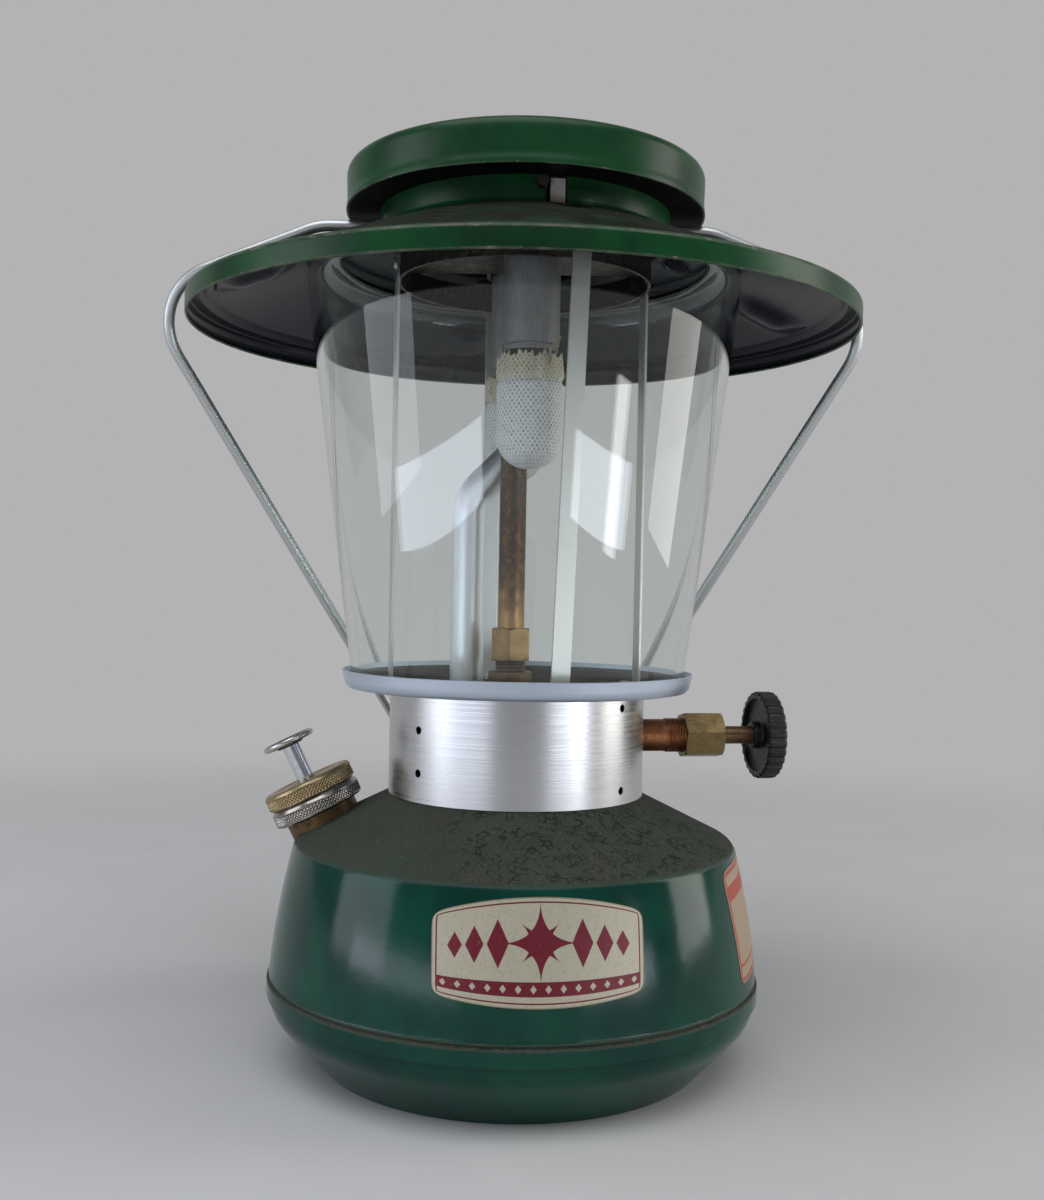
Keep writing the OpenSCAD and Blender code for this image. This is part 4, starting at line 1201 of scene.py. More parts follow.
@dataclass
class Hood:
    """The wide fluted hood, its cap, and what holds them."""

    s: Sizes
    flutes: tuple[float, ...] = (-75.0, 15.0, 105.0, 195.0)
    tongue: float = -78.9
    tool_r: float = 7.0
    tool_at: float = 7.0
    flute_half: float = 7.8
    swell_turn: float = 8.0
    slot_half: float = 3.0
    slot_h: float = 9.0
    around: int = 720

    def lines(self) -> tuple[Array, Array, Array]:
        """The outer profile in three runs: the band with its bead, the cone, and the neck."""
        s = self.s
        bead = [(s.step_r - back, float(s.cone(s.step_r - back)) + up)
                for back, up in ((0.2, 0.5), (2.6, 0.1), (4.0, 0.0))]
        band = round_corners(
            [(s.brim_r - 0.45, s.brim_foot_z), (s.brim_r, s.brim_foot_z + 0.4), (s.brim_r, s.brim_top_z),
             (s.step_r + 1.4, s.brim_top_z + 0.1), *bead],
            [0.0, 0.4, 1.7, 0.9, 1.1, 1.6, 0.0], 7,
        )
        r = np.linspace(s.step_r - 4.6, s.neck_r + 2.6, 84)
        cone = np.stack([r, s.cone(r)], 1)
        corner = [cone[-1], (s.neck_r, s.neck_z), (s.neck_r, s.neck_z + 4.0)]
        throat = round_corners(corner, [0.0, 1.9, 0.0], 8)
        neck = np.stack([np.full(12, s.neck_r), np.linspace(s.neck_z + 4.6, s.neck_top_z, 12)], 1)
        return band, cone, np.concatenate([throat[1:], neck])

    def pressed(self, line: Array) -> Array:
        """Turns the profile and presses the dimples and flutes into its cone, and swells its neck.

        A dimple by the neck lowers the cone by the depth of a round tool of radius R that has
        sunk by d: sqrt(R^2 - away^2) - (R - d), softened where that nears 0. A flute further out
        lowers it by its depth times exp(-|across / width|^2.4), faded in and out along it.

        Args:
            line: The profile.

        Returns:
            The grid of points.
        """
        s = self.s
        a = round_angles(self.around)
        slope = math.radians(s.hood_slope)
        radius = line[:, :1]
        sink, swell = np.zeros((2, len(line), self.around))
        for angle in self.flutes:
            off = a - math.radians(angle)
            out = np.where(np.cos(off) > 0.0, radius * np.cos(off), -OUT_OF_SIGHT)
            across = radius * np.sin(off)
            away = np.hypot(across, (out - s.neck_r - self.tool_at) / math.cos(slope))
            dip = np.sqrt(np.maximum(self.tool_r**2 - away**2, 0.0)) - (self.tool_r - s.flute_depth)
            dip = np.where(dip > 0.5, dip, 0.5 * np.exp(np.clip(dip, -6.0, 0.5) / 0.5 - 1.0))
            along = between(out, (s.globe_top_r + 3.0, s.step_r - 2.0), (11.0, 10.0))
            flute = 1.15 * s.flute_depth * np.exp(-(np.abs(across / self.flute_half) ** 2.4)) * along
            sink = np.maximum(sink, np.maximum(dip, flute))
            turn = off - math.radians(self.swell_turn)
            beside = np.where(np.cos(turn) > 0.0, radius * np.sin(turn), OUT_OF_SIGHT)
            low = (line[:, 1:] - s.neck_z - 3.0) / 2.1
            swell += 1.3 * np.exp(-(low**2) - (beside / 4.6) ** 2)
        sink = sink * between(radius, (s.neck_r + 0.4, s.step_r - 2.0), (2.0, 3.0))
        swell = swell * (radius < s.neck_r + 0.4)
        points = turned(line, self.around, swell - sink * math.sin(slope))
        points[:, :, 2] -= sink * math.cos(slope)
        return points

    def outside_slots(self, line: Array) -> Array:
        """Marks the faces to keep: all but those at the two slots for the frame's tongues."""
        s = self.s
        mid_r, mid_z = ((line[:-1] + line[1:]) / 2.0).T
        rows = (mid_r < s.neck_r + 1.2) & (mid_z < s.neck_z + self.slot_h)
        middle = np.degrees(round_angles(self.around)) + 180.0 / self.around
        keep = np.ones((len(line), self.around), bool)
        for turn in (0.0, 180.0):
            off = (middle - self.tongue - turn + 180.0) % 360.0 - 180.0
            keep[:-1][np.ix_(rows, np.abs(np.radians(off) * s.neck_r) < self.slot_half)] = False
        return keep

    def skin(self) -> None:
        """The pressed sheet, thickened inwards: green outside, sooty on its cone, navy inside."""
        band, cone, neck = self.lines()
        line = np.concatenate([band, cone, neck])
        points = self.pressed(line)
        part = np.full(points.shape[:2], 2)
        part[len(band) : len(band) + len(cone)] = 0
        grid = Surface(points, keep=self.outside_slots(line), part=part)
        piece = make_piece("hood_skin", grid, [SOOTY_GREEN, NAVY, GREEN_BRIM, NAVY], Body.HOOD,
                           ["hood"], 50.0, outward=False)
        wall = piece.modifiers.new("sheet", "SOLIDIFY")
        wall.thickness = self.s.hood_sheet * MM
        wall.offset = -1.0
        wall.material_offset = 1
        wall.material_offset_rim = 0
        wall.use_quality_normals = True

    def cap(self) -> None:
        """The cap: a side with a rolled lip, a rounded corner and a pressed ring on its top."""
        s = self.s
        r, foot, top = s.cap_r, s.cap_foot_z, s.cap_top_z
        side = round_corners(
            [(r - 0.7, foot + 0.5), (r - 0.35, foot), (r, foot + 0.5), (r, foot + 2.2),
             (r - 0.35, foot + 3.2), (r, top), (30.5, top + 0.2), (27.5, top + 1.4), (0.0, top + 1.4)],
            [0.0, 0.3, 0.3, 0.8, 1.6, 3.2, 3.0, 3.0, 0.0], 8,
        )
        line = resample(side, 1.0)
        outline = thick_outline(line, s.hood_sheet)
        outline[[-1, len(line) - 1, len(line)], 0] = 0.0
        points = turned(outline)
        part = np.zeros(points.shape[:2], int)
        # The cap's inner side is near-black, painted shade.
        part[len(line) :] = 1
        make_piece("cap_shell", Surface(points, wrap_rows=True, part=part), [GREEN, SHADE_BLACK], Body.HOOD,
                   ["hood_cap"])

    def build(self) -> None:
        """Makes the skin, the cap and their fittings."""
        self.skin()
        self.cap()
        dressed_node("cap_brackets", "cap_bracket_set", PLATED_STEEL, Body.HOOD, "plated_steel", 30.0, 0.2)
        dressed_node("cap_rivets", "cap_rivet_heads", GREEN, Body.HOOD, "green_enamel", 40.0)
        dressed_node("catch_pins", "catch_pin_pair", PIN_STEEL, Body.HOOD, "plated_steel", 40.0, 0.3)


@dataclass
class Bail:
    """The wire bail, which hangs down behind the lantern."""

    s: Sizes
    reach: float = 131.8
    slope: float = 20.5
    length: float = 270.8
    bend_r: float = 22.0
    shift: float = -3.7

    def build(self) -> None:
        """A round wire carried along its flat path: two ends, shoulders, legs and the grip.

        The path lies in a plane through the two pivots, which leans until the grip rests on the
        fount's wall.
        """
        s = self.s
        straight = s.cap_r + 6.4
        corner = (self.reach, (self.reach - straight) * math.tan(math.radians(self.slope)))
        half = [(s.neck_r - 9.0, 0.0), (straight, 0.0), corner]
        corners = half + [(0.0, self.length)] + [(-x, y) for x, y in reversed(half)]
        flat = resample(round_corners(corners, [0.0] + [self.bend_r] * 5 + [0.0], 24), 1.4)
        leg = math.atan(corner[0] / (self.length - corner[1]))
        drop = self.length - self.bend_r * (1.0 / math.sin(leg) - 1.0)
        grip = s.pivot_z - drop * math.cos(math.asin(s.belly_r / drop))
        lean = math.asin((float(s.wall(grip)) + s.wire_d / 2.0 + s.seat) / drop)
        x, y = flat.T
        path = np.stack([x + self.shift, y * math.sin(lean), s.pivot_z - y * math.cos(lean)], 1)
        wire = with_ends(swept(path, (0.0, math.cos(lean), math.sin(lean)), s.wire_d / 2.0, 40))
        make_piece("bail_wire", Surface(wire), GALVANISED, Body.BAIL, ["bail"], 50.0)


@dataclass
class Burner:
    """Frame straps, generator, air tube, burner tubes and the two mantles."""

    s: Sizes
    generator_r: tuple[float, float] = (3.35, 4.55)
    nut_h: float = 11.0
    washer_h: float = 3.6
    air: tuple[float, float] = (-18.0, 6.0)
    mixing: tuple[float, float] = (0.5, 6.5)
    air_r: tuple[float, float] = (5.9, 5.1)
    offset: float = 25.0
    turn: float = -84.0
    drop: float = 35.0
    bag_r: float = 11.0
    bag_length: float = 37.6
    bag_round: float = 2.1
    cloth_w: float = 68.4
    tie: float = 9.0
    folds: tuple[int, ...] = (3, 5, 8, 11, 15, 19, 24)
    tears: tuple[tuple[float, int], ...] = ((0.5, 9), (0.45, 17), (0.5, 33), (0.4, 58))
    string_r: float = 0.45

    def frame(self) -> None:
        """Straps, band, bridge, rivets and burner tubes from the CAD, with soft edges."""
        steel = (Body.LANTERN, "plated_steel")
        for side in ("front", "right", "rear", "left"):
            dressed_node(f"strap_{side}", f"strap_{side}_steel", PLATED_STEEL, *steel, 30.0, 0.25)
        dressed_node("frame_band", "band_with_tongues", HEATED_STEEL, *steel, 30.0, 0.2)
        dressed_node("frame_bridge", "bridge_strip", HEATED_STEEL, *steel)
        dressed_node("frame_rivets", "strap_rivets", PLATED_STEEL, *steel, 40.0)
        dressed_node("manifold", "manifold_cup", BURNER_STEEL, *steel, 30.0, 0.5)
        for side in ("front", "rear"):
            dressed_node(f"burner_{side}", f"burner_tube_{side}", BURNER_STEEL, *steel)
            dressed_node(f"screen_{side}", f"burner_screen_{side}", BURNER_STEEL, *steel)

    def generator(self) -> None:
        """The generator tube and its hexagon nut."""
        inner, outer = self.generator_r
        bottom, top = self.s.column_z + self.washer_h + self.nut_h, self.s.tubes_top_z
        ends = np.array([(inner, bottom), (outer, bottom), (outer, top), (inner, top)])
        outline = np.concatenate([np.linspace(ends[k], ends[(k + 1) % 4], 24)[:-1] for k in range(4)])
        points = turned(outline, 48) + np.array([*self.s.column, 0.0])
        make_piece("generator_pipe", Surface(points, wrap_rows=True), GENERATOR, Body.LANTERN,
                   ["generator_tube"])
        dressed_node("generator_nut", "generator_hexagon", WARM_BRASS, Body.LANTERN, "brass", 25.0, 0.25)

    def air_tube(self) -> None:
        """The air tube: up beside the generator, over in an S bend, and up as the mixing tube."""
        s = self.s
        low, bend = s.shield_z - 8.0, s.shield_z + 66.0
        air, mixing = np.array(self.air), np.array(self.mixing)
        run = float(np.linalg.norm(mixing - air))
        flat = round_corners([(0.0, low), (0.0, bend), (run, bend + run), (run, s.tubes_top_z)],
                             [0.0, 14.0, 14.0, 0.0], 16)
        line = resample(flat, 1.5)
        way = (mixing - air) / run
        path = np.stack([air[0] + line[:, 0] * way[0], air[1] + line[:, 0] * way[1], line[:, 1]], 1)
        outer, inner = (swept(path, (-way[1], way[0], 0.0), r, 40) for r in self.air_r)
        grid = Surface(np.concatenate([outer, inner[::-1]]), wrap_rows=True)
        make_piece("air_tube_pipe", grid, AIR_TUBE_STEEL, Body.LANTERN, ["air_tube"])

    def bag(self, centre: Array, top: float, phases: Array) -> Surface:
        """A knitted bag tied round a burner's mouth, with a frayed top.

        Its radius is that of a bag with a round bottom, less a pinch at the tie, plus folds, each
        a sine of the angle, that grow above the tie. Its top edge rises and falls like a torn hem.

        Args:
            centre: The burner's axis, x and y.
            top: Height of the bag's top.
            phases: Where the folds and the tears start.

        Returns:
            The bag, with its place on the flat cloth.
        """
        v = np.linspace(0.0, 1.0, 150)
        deep = self.bag_length * (1.0 - v)
        drawn = np.clip((deep - self.bag_length + self.bag_r) / self.bag_r, 0.0, 1.0)
        bag = self.bag_r * (1.0 - drawn**self.bag_round) ** (1.0 / self.bag_round)
        bag = bag - 0.75 * np.exp(-(((deep - self.tie) / 1.1) ** 2))
        bag = bag - 0.25 * smooth_step(-deep, -self.tie, -1.0)
        a = round_angles(240)
        ruffle = smooth_step(-deep, -self.tie - 3.0, -self.tie + 3.0)[:, None]
        folds = np.zeros((len(v), len(a)))
        for count, phase in zip(self.folds, phases):
            slow = np.sin(count * a + phase + 0.35 * np.sin(deep[:, None] / 5.0 + phase))
            folds += (0.10 + (0.52 if count > 3 else 0.1) * ruffle) * slow * (6.0 / (5.0 + count))
        r = bag[:, None] + folds * np.clip(bag / self.bag_r, 0.0, 1.0)[:, None] ** 1.5
        r[0] = 0.0
        torn = sum(size * np.sin(count * a + phase) for (size, count), phase in zip(self.tears, phases[8:]))
        hem = np.clip((v - 0.94) / 0.06, 0.0, 1.0)[:, None]
        z = (top - deep)[:, None] + hem * (torn - 1.2)
        points = np.stack([centre[0] + r * np.cos(a), centre[1] + r * np.sin(a), z], 2)
        across = np.linspace(0.0, self.cloth_w, len(a) + 1)
        uv = np.stack(np.broadcast_arrays(across[None], deep[:, None]), 2)
        return Surface(points, uv=uv, part=np.zeros(points.shape[:2], int))

    def tail(self, centre: Array, height: float, angle: float) -> Surface:
        """The loose end of the tie: a thin string that stands up beside the bag and sways.

        Args:
            centre: The burner's axis, x and y.
            height: Where the string starts.
            angle: Where it is, in degrees from +X.

        Returns:
            The string.
        """
        out = np.array([math.cos(math.radians(angle)), math.sin(math.radians(angle)), 0.0])
        side = np.array([-out[1], out[0], 0.0])
        t = np.linspace(0.0, 1.0, 28)[:, None]
        start = np.array([*centre, height]) + out * (self.bag_r + 0.2)
        path = start + t * (np.array([0.0, 0.0, 9.0]) + out * 0.8) + 0.5 * np.sin(t * 9.0) * side
        path = path + np.array([3.0, 0.0, 0.0]) * t**2
        string = with_ends(swept(path, side, self.string_r, 10))
        uv = np.zeros((string.shape[0], string.shape[1] + 1, 2))
        return Surface(string, uv=uv, part=np.ones(string.shape[:2], int))

    def mantle(self, side: float, node: str, seed: int, tail: float) -> None:
        """A new mantle with its tie, as one sheet that is gathered over a burner's screen.

        Args:
            side: 1 for the front burner, -1 for the rear one.
            node: The CAD node it stands for, and the first word of the piece's name.
            seed: Seed of its folds.
            tail: Where the tie's tail is, in degrees from +X.
        """
        phases = np.random.default_rng(seed).uniform(0.0, TURN, 16)
        top = self.s.neck_z - 7.6 - self.drop - self.s.seat
        turn = math.radians(self.turn)
        centre = np.array([math.cos(turn), math.sin(turn)]) * side * self.offset
        grids = [self.bag(centre, top, phases), self.tail(centre, top - self.tie + 4.0, tail)]
        piece = make_piece(node + "_bag", grids, [KNIT, TIE], Body.LANTERN, [node], 80.0,
                           outward=False)

    def build(self) -> None:
        """Makes the frame, the tubes and the mantles."""
        self.frame()
        self.generator()
        self.air_tube()
        self.mantle(1.0, "mantle_front", 7, -60.0)
        self.mantle(-1.0, "mantle_rear", 11, 120.0)


@dataclass
class Valve:
    """The control valve: threaded tube, packing nut, stem and scalloped knob."""

    s: Sizes
    angle: float = 10.0
    knob_d: float = 31.0
    knob_h: float = 6.7
    scallops: int = 28
    scallop_r: float = 1.15
    thread_depth: float = 0.42
    around: int = 96

    def __post_init__(self) -> None:
        """Stands the valve's own axis along the stem."""
        a = math.radians(self.angle)
        out, side = np.array([math.cos(a), math.sin(a), 0.0]), np.array([-math.sin(a), math.cos(a), 0.0])
        axes = np.stack([np.array([0.0, 0.0, -1.0]), side, out])
        self.place = Place(np.array([0.0, 0.0, self.s.collar_z + 19.6]), axes)
        nut_from, nut_h = self.s.collar_r + 15.7, 14.1
        self.thread_from = nut_from - 7.0
        self.tube_to = nut_from + nut_h - 4.0 - 2.6 - 0.2
        self.knob_from = nut_from + nut_h + 13.3

    def threaded(self, before: Array, t: Array, root: float, share: Any, pitch: float,
                 after: Array) -> Array:
        """Turns a profile whose middle run is a helical thread.

        The thread's radius is its root's plus its depth times a zigzag of the height over the
        pitch less the angle over a turn.

        Args:
            before: Profile below the thread.
            t: Heights along the thread.
            root: Radius at the thread's root.
            share: How much of its full depth the thread has, at each height or everywhere.
            pitch: Its pitch.
            after: Profile above the thread.

        Returns:
            The grid of points.
        """
        line = np.concatenate([before, np.stack([np.zeros(len(t)), t], 1), after])
        swell = np.zeros((len(line), self.around))
        wave = zigzag(t[:, None] / pitch - round_angles(self.around) / TURN)
        swell[len(before) : len(before) + len(t)] = root + self.thread_depth * wave * share
        return turned(line, self.around, swell)

    def body(self) -> None:
        """The outlet tube, threaded at its outer end, and the threaded column of the generator."""
        s, start = self.s, self.thread_from
        t = np.arange(start, self.tube_to, 0.125)
        plain = np.array([(5.65, z) for z in (0.0, 20.0, s.collar_r - 3.0, start - 0.2)])
        fade = smooth_step(t, start, start + 1.0)[:, None]
        bore = np.array([(3.2, self.tube_to), (3.2, 0.0)])
        tube = self.place.put(self.threaded(plain, t, 5.62, fade, 1.0, bore))
        top, low = s.column_z, s.collar_z + s.spigot_rise - s.fount_sheet - 3.0
        z = np.arange(top, top + 6.8, 0.16)
        collar = round_corners([(1.5, low), (7.5, low), (7.5, top), (4.9, top)], [0.0, 0.0, 0.8, 0.0], 6)
        column = self.threaded(collar, z, 4.85, 1.0, 1.1, np.array([(1.5, top + 7.0)]))
        column += np.array([*s.column, 0.0])
        grids = [Surface(points, wrap_rows=True) for points in (tube, column)]
        make_piece("valve_body", grids, [COPPERY, DARK_BRASS], Body.LANTERN, ["valve_block"])

    def knob(self) -> None:
        """The knob: a shallow cup with a hub inside, its rim cut by scallops.

        The rim's radius is the knob's less the depth of a row of round cuts, one a scallop.
        """
        around = self.scallops * 14
        gap = (round_angles(around) * self.scallops / TURN + 0.5) % 1.0 - 0.5
        r = self.knob_d / 2.0
        width = TURN * r / self.scallops
        cut = np.sqrt(np.maximum(self.scallop_r**2 - (gap * width) ** 2, 0.0)) - 0.5
        near = self.knob_from
        far = near + self.knob_h
        line = round_corners(
            [(3.15, near - 1.6), (4.7, near - 1.6), (4.7, near + 1.6), (r - 2.9, near + 1.6),
             (r - 2.5, near), (r, near), (r, far), (r - 2.0, far), (3.15, far)],
            [0.0, 0.5, 0.9, 0.8, 0.4, 0.9, 1.2, 0.0, 0.0], 5,
        )
        reach = smooth_step(line[:, 0], r - 2.2, r - 0.4)[:, None]
        points = self.place.put(turned(line, around, -np.maximum(cut, 0.0)[None] * reach))
        make_piece("knob_scalloped", Surface(points, wrap_rows=True), PHENOLIC, Body.VALVE,
                   ["valve_knob"], 40.0)

    def build(self) -> None:
        """Makes the tube, the nut, the stem and the knob."""
        self.body()
        dressed_node("packing_nut", "packing_hexagon", NUT_BRASS, Body.LANTERN, "brass", 25.0, 0.3)
        dressed_node("valve_packing", "valve_packing_ring", GRAPHITE, Body.LANTERN, "graphite_packing")
        dressed_node("fuel_pickup", "fuel_pickup_tube", DARK_BRASS, Body.LANTERN, "dull_brass")
        dressed_node("valve_stem", "stem_rod", DARK_BRASS, Body.VALVE, "dull_brass")
        self.knob()
        dressed_node("knob_screw", "knob_screw_head", PLATED_STEEL, Body.VALVE, "plated_steel")


@dataclass
class Filler:
    """The filler cap with its knurled rings, and the pump that runs through it."""

    s: Sizes
    filler_r: float = 66.0
    ring_r: float = 15.85
    levels: tuple[float, float, float] = (3.7, 9.8, 15.6)
    pump_out: float = 12.6
    teeth: int = 80
    knurl_pitch: float = 1.25
    knurl_depth: float = 0.42
    around: int = 720

    def __post_init__(self) -> None:
        """Stands the filler's own axis square to the shoulder."""
        slope = math.radians(self.s.shoulder_slope)
        axes = np.array([[math.cos(slope), 0.0, math.sin(slope)], [0.0, 1.0, 0.0],
                         [-math.sin(slope), 0.0, math.cos(slope)]])
        self.place = Place(np.array([-self.filler_r, 0.0, self.s.shoulder_level(self.filler_r)]), axes)

    def ring(self, name: str, node: str, line: Array, knurl: tuple[float, float], finish: Finish,
             slot: str) -> None:
        """A turned ring with a knurled edge.

        The knurl lowers the radius by its depth times the larger of two crossed waves, one of
        the angle plus the height and one of the angle less the height.

        Args:
            name: The piece's name.
            node: The CAD node it stands for.
            line: Its outline, of (radius, height) points, finely spaced along the edge.
            knurl: Where the knurl starts and ends.
            finish: Its finish.
            slot: Not used.
        """
        along, z = round_angles(self.around) * self.teeth / TURN, line[:, 1:]
        crossed = np.minimum(zigzag(along + z / self.knurl_pitch), zigzag(along - z / self.knurl_pitch))
        edge = smooth_step(line[:, :1], self.ring_r - 0.5, self.ring_r - 0.1)
        swell = -self.knurl_depth * (1.0 - crossed) * between(z, knurl, (0.25, 0.25)) * edge
        points = self.place.put(turned(line, self.around, swell))
        make_piece(name, Surface(points, wrap_rows=True), finish, Body.FILLER, [node], 40.0)

    def rings(self) -> None:
        """The lower ring, bright with a chamfer, and the upper ring, of brass."""
        r = self.ring_r
        low, mid, high = self.levels
        side = np.stack([np.full(32, r), np.linspace(low + 0.6, low + 4.4, 32)], 1)
        lower = np.concatenate([
            [(12.8, low), (r - 0.8, low)], side,
            [(r - 0.05, low + 4.6), (r - 1.2, mid - 0.05), (8.2, mid - 0.05), (8.2, mid - 2.6),
             (12.8, mid - 2.6)],
        ])
        self.ring("cap_ring", "filler_cap", lower, (low + 0.8, low + 4.2), NICKEL, "nickel")
        side = np.stack([np.full(32, r), np.linspace(mid + 0.5, high - 1.7, 32)], 1)
        corner = circle_points((r - 1.7, high - 1.7), 1.7, 6.0, 90.0, 7)
        upper = np.concatenate([
            [(9.2, mid), (r - 0.9, mid)], side, corner,
            [(r - 5.2, high), (r - 5.5, high - 0.25), (6.0, high - 0.25), (5.4, high), (3.2, high),
             (3.2, mid + 2.0), (9.2, mid + 2.0)],
        ])
        self.ring("pump_cap_ring", "pump_cap", upper, (mid + 0.7, high - 1.5), BRASS, "brass")

    def button(self) -> None:
        """The pump's button: a dished disc with a rolled edge, its face painted dull brown-grey as a dark
        reflection, and its underside the same.
        """
        z = self.levels[2] + self.pump_out
        line = round_corners(
            [(0.0, z), (4.4, z), (5.0, z + 0.7), (8.3, z + 0.7), (9.1, z + 1.2), (9.1, z + 2.8),
             (7.4, z + 2.8), (6.4, z + 2.4), (0.0, z + 2.3)],
            [0.0, 0.5, 0.4, 0.5, 0.8, 0.9, 0.5, 0.5, 0.0], 6,
        )
        points = self.place.put(turned(line, 128))
        part = np.zeros(points.shape[:2], int)
        # Face and underside take the dull brown-grey that paints a dark reflection.
        part[len(line) - 14 :] = 1
        part[(line[:, 0] < 8.35) & (line[:, 1] < z + 0.8)] = 1
        make_piece("pump_knob", Surface(points, part=part), [BUTTON_STEEL, DARK_REFLECTION_FACE], Body.PUMP,
                   ["pump_button"], 40.0)

    def build(self) -> None:
        """Makes the neck, the rings and the pump."""
        dressed_node("filler_neck", "filler_neck_tube", DARK_BRASS, Body.LANTERN, "brass", 30.0, 0.3)
        dressed_node("filler_gasket", "gasket_ring", RUBBER, Body.FILLER, "black_rubber")
        self.rings()
        dressed_node("pump_barrel", "pump_barrel_tube", BRASS, Body.FILLER, "brass")
        dressed_node("pump_check_valve", "check_valve_plug", BRASS, Body.FILLER, "brass")
        dressed_node("pump_rod", "pump_plunger_rod", CHROME, Body.PUMP, "nickel")
        dressed_node("pump_leather", "pump_leather_cup", OILED_LEATHER, Body.PUMP, "leather")
        self.button()


# ---- stage ------------------------------------------------------------------------------


@dataclass(frozen=True)
class PalePaper(Finish):
    """Plain pale matte paper; far from the lantern it shows one even tone, as a lit wall does."""

    colour: str = "c6c6c6"
    pale: str = "c9c9c9"
    far: str = "b3b3b3"
    near: float = 420.0
    away: float = 860.0

    def build(self, tree: Any) -> Any:
        """Matte paper near the lantern, and the even tone further off for rays that look at it."""
        m = Mask(tree)
        base = m.colours(m.band(m.noise(60.0, 3.0), 0.3, 0.7), self.colour, self.pale)
        paper = add(tree, "BsdfPrincipled", {"Roughness": 0.9}, {"Base Color": base})
        even = add(tree, "Emission", {"Color": linear(self.far), "Strength": 1.0})
        ray = add(tree, "LightPath").outputs
        seen = m.largest(*[ray[f"Is {kind} Ray"] for kind in ("Camera", "Glossy", "Transmission")])
        share = m.times(seen, m.band(m.radius(), self.near, self.away))
        return add(tree, "MixShader", None, {0: share, 1: paper.outputs[0], 2: even.outputs[0]}).outputs[0]


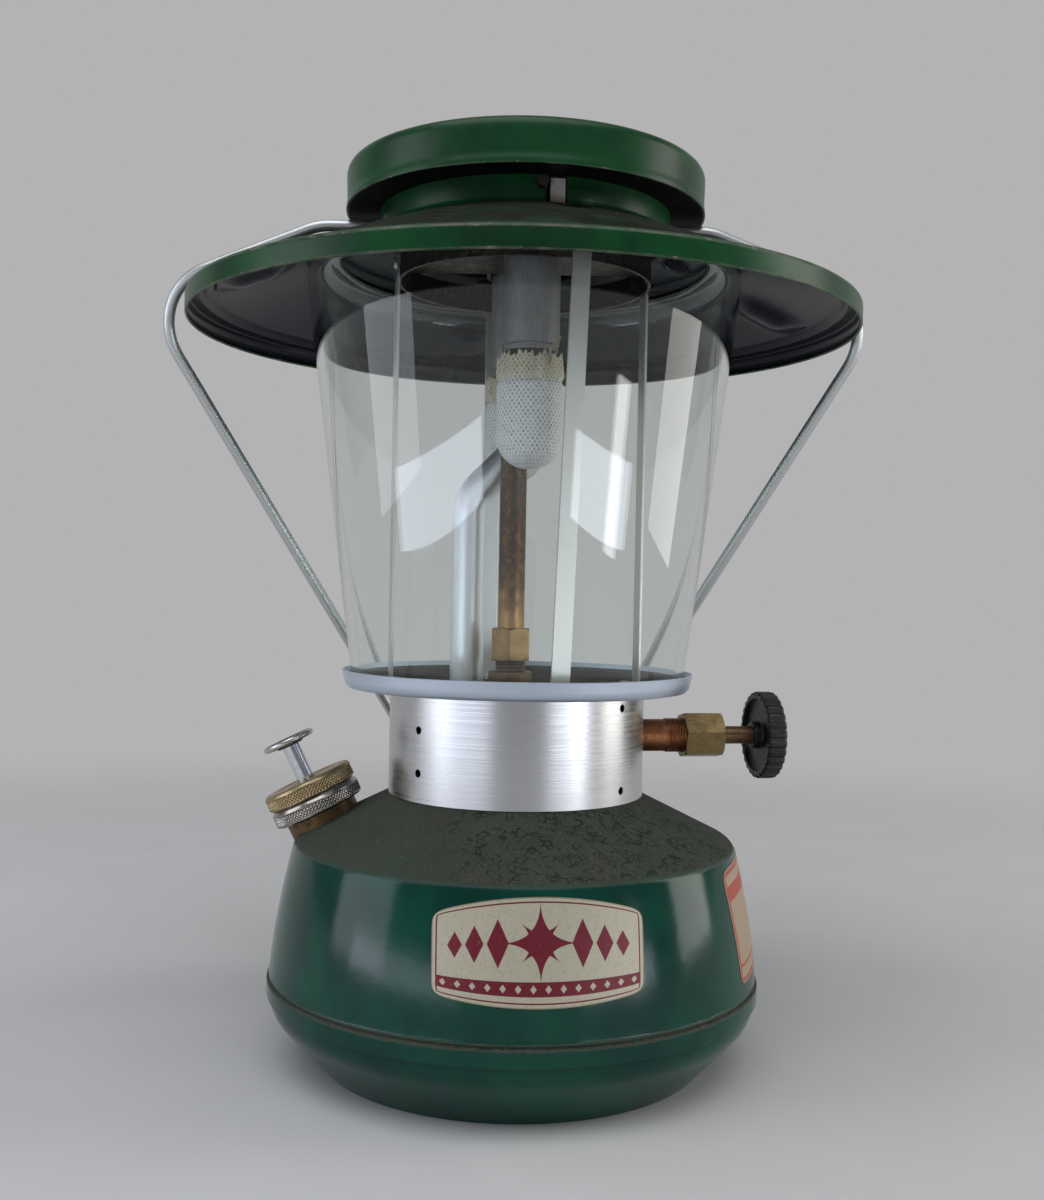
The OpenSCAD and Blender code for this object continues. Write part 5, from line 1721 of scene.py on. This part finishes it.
@dataclass
class Studio:
    """Pale floor and backdrop, soft lights, and the camera."""

    distance: float = 450.0
    eye: float = 159.0
    aside: float = 1.16
    pitch: float = -0.44
    roll: float = 1.05
    lens: float = 38.85
    sensor: float = 36.0
    room_light: float = 0.17
    paper: PalePaper = PalePaper("pale_paper")

    def backdrop(self) -> None:
        """A floor that sweeps up behind into a wall."""
        arc = circle_points((1500.0, 900.0), 900.0, -90.0, 0.0, 24)
        line = np.concatenate([[(-2500.0, 0.0)], arc, [(2400.0, 3500.0)]])
        x = np.linspace(-4000.0, 4000.0, 5)[:, None]
        points = np.stack(np.broadcast_arrays(x, line[:, 0], line[:, 1]), 2)
        faces, _ = Surface(points, wrap_columns=False).faces()
        mesh = bpy.data.meshes.new("backdrop")
        mesh.from_pydata((points.reshape(-1, 3) * MM).tolist(), [], faces.tolist())
        mesh.shade_smooth()
        mesh.materials.append(self.paper.material())
        sweep = bpy.data.objects.new("backdrop", mesh)
        bpy.context.scene.collection.objects.link(sweep)

    def lamp(self, name: str, place: Sequence[float], size: tuple[float, float], power: float, colour: str,
             through: bool = True, aim: Sequence[float] = (0.0, 0.0, 150.0)) -> None:
        """One soft rectangular lamp, seen only in reflections.

        Args:
            name: Its name.
            place: Where it stands, in millimetres.
            size: Its width and height, in metres.
            power: Its power, in watts.
            colour: Its colour, as sRGB hex.
            through: Whether it shows through the glass as well.
            aim: What it faces, in millimetres.
        """
        data = bpy.data.lights.new(name, "AREA")
        data.shape = "RECTANGLE"
        data.size, data.size_y = size
        data.energy = power
        data.color = linear(colour)[:3]
        lamp = bpy.data.objects.new(name, data)
        lamp.location = [c * MM for c in place]
        direction = Vector([(b - a) * MM for a, b in zip(place, aim)])
        lamp.rotation_euler = direction.to_track_quat("-Z", "Y").to_euler()
        lamp.visible_camera = False
        lamp.visible_transmission = through
        bpy.context.scene.collection.objects.link(lamp)

    def lights(self) -> None:
        """Tall soft lamps at both sides, a broad one above, and low panels in front."""
        self.lamp("window_right", (1300.0, 60.0, 330.0), (0.55, 1.2), 8.0, "fffcf6", False)
        self.lamp("softbox_left", (-1450.0, -420.0, 300.0), (0.85, 1.3), 8.5, "f2f6ff", False)
        self.lamp("sky_top", (-150.0, -700.0, 1700.0), (2.2, 1.6), 25.0, "f6f8fd")
        self.lamp("panel_low", (-700.0, -620.0, 50.0), (0.95, 0.09), 0.95, "e6edff")
        self.lamp("panel_right", (690.0, -640.0, 50.0), (0.6, 0.09), 0.75, "eef3ff")
        self.lamp("strip_low", (737.0, -516.0, 90.0), (0.12, 0.17), 0.32, "ffffff")
        world = bpy.data.worlds.new("soft_room")
        world.use_nodes = True
        tree = world.node_tree
        tree.nodes.clear()
        room = add(tree, "Background", {"Color": linear("ffffff"), "Strength": self.room_light})
        pale = add(tree, "Background", {"Color": linear(self.paper.far), "Strength": 1.0})
        ray = add(tree, "LightPath").outputs
        links = {0: ray["Is Camera Ray"], 1: ray["Is Transmission Ray"]}
        seen = add(tree, "Math", None, links, operation="MAXIMUM")
        both = add(tree, "MixShader", None, {0: seen.outputs[0], 1: room.outputs[0], 2: pale.outputs[0]})
        add(tree, "OutputWorld", None, {"Surface": both.outputs[0]})
        bpy.context.scene.world = world

    def camera(self) -> None:
        """A nearly level camera close in front of the lantern, with a slight roll."""
        data = bpy.data.cameras.new("camera")
        data.lens = self.lens
        data.sensor_width = self.sensor
        data.clip_start, data.clip_end = 0.01, 50.0
        camera = bpy.data.objects.new("camera", data)
        camera.location = (self.aside * MM, -self.distance * MM, self.eye * MM)
        pitch = math.radians(self.pitch)
        forward = Vector((0.0, math.cos(pitch), math.sin(pitch)))
        turn = forward.to_track_quat("-Z", "Y").to_matrix().to_4x4()
        camera.rotation_euler = (turn @ Matrix.Rotation(math.radians(self.roll), 4, "Z")).to_euler()
        bpy.context.scene.collection.objects.link(camera)
        bpy.context.scene.camera = camera

    def build(self) -> None:
        """Makes the camera, the backdrop and the lights."""
        self.camera()
        self.backdrop()
        self.lights()
        bpy.context.scene.view_settings.view_transform = "Standard"


def main() -> None:
    """Builds the lantern's looks, sub-assembly by sub-assembly, and the stage."""
    logging.basicConfig(level=logging.INFO, format="%(name)s: %(message)s")
    sizes = Sizes()
    Studio().build()
    for part in (Fount, Stand, Globe, Hood, Bail, Burner, Valve, Filler):
        LOG.info("building %s", part.__name__)
        part(sizes).build()


if __name__ == "__main__":
    main()
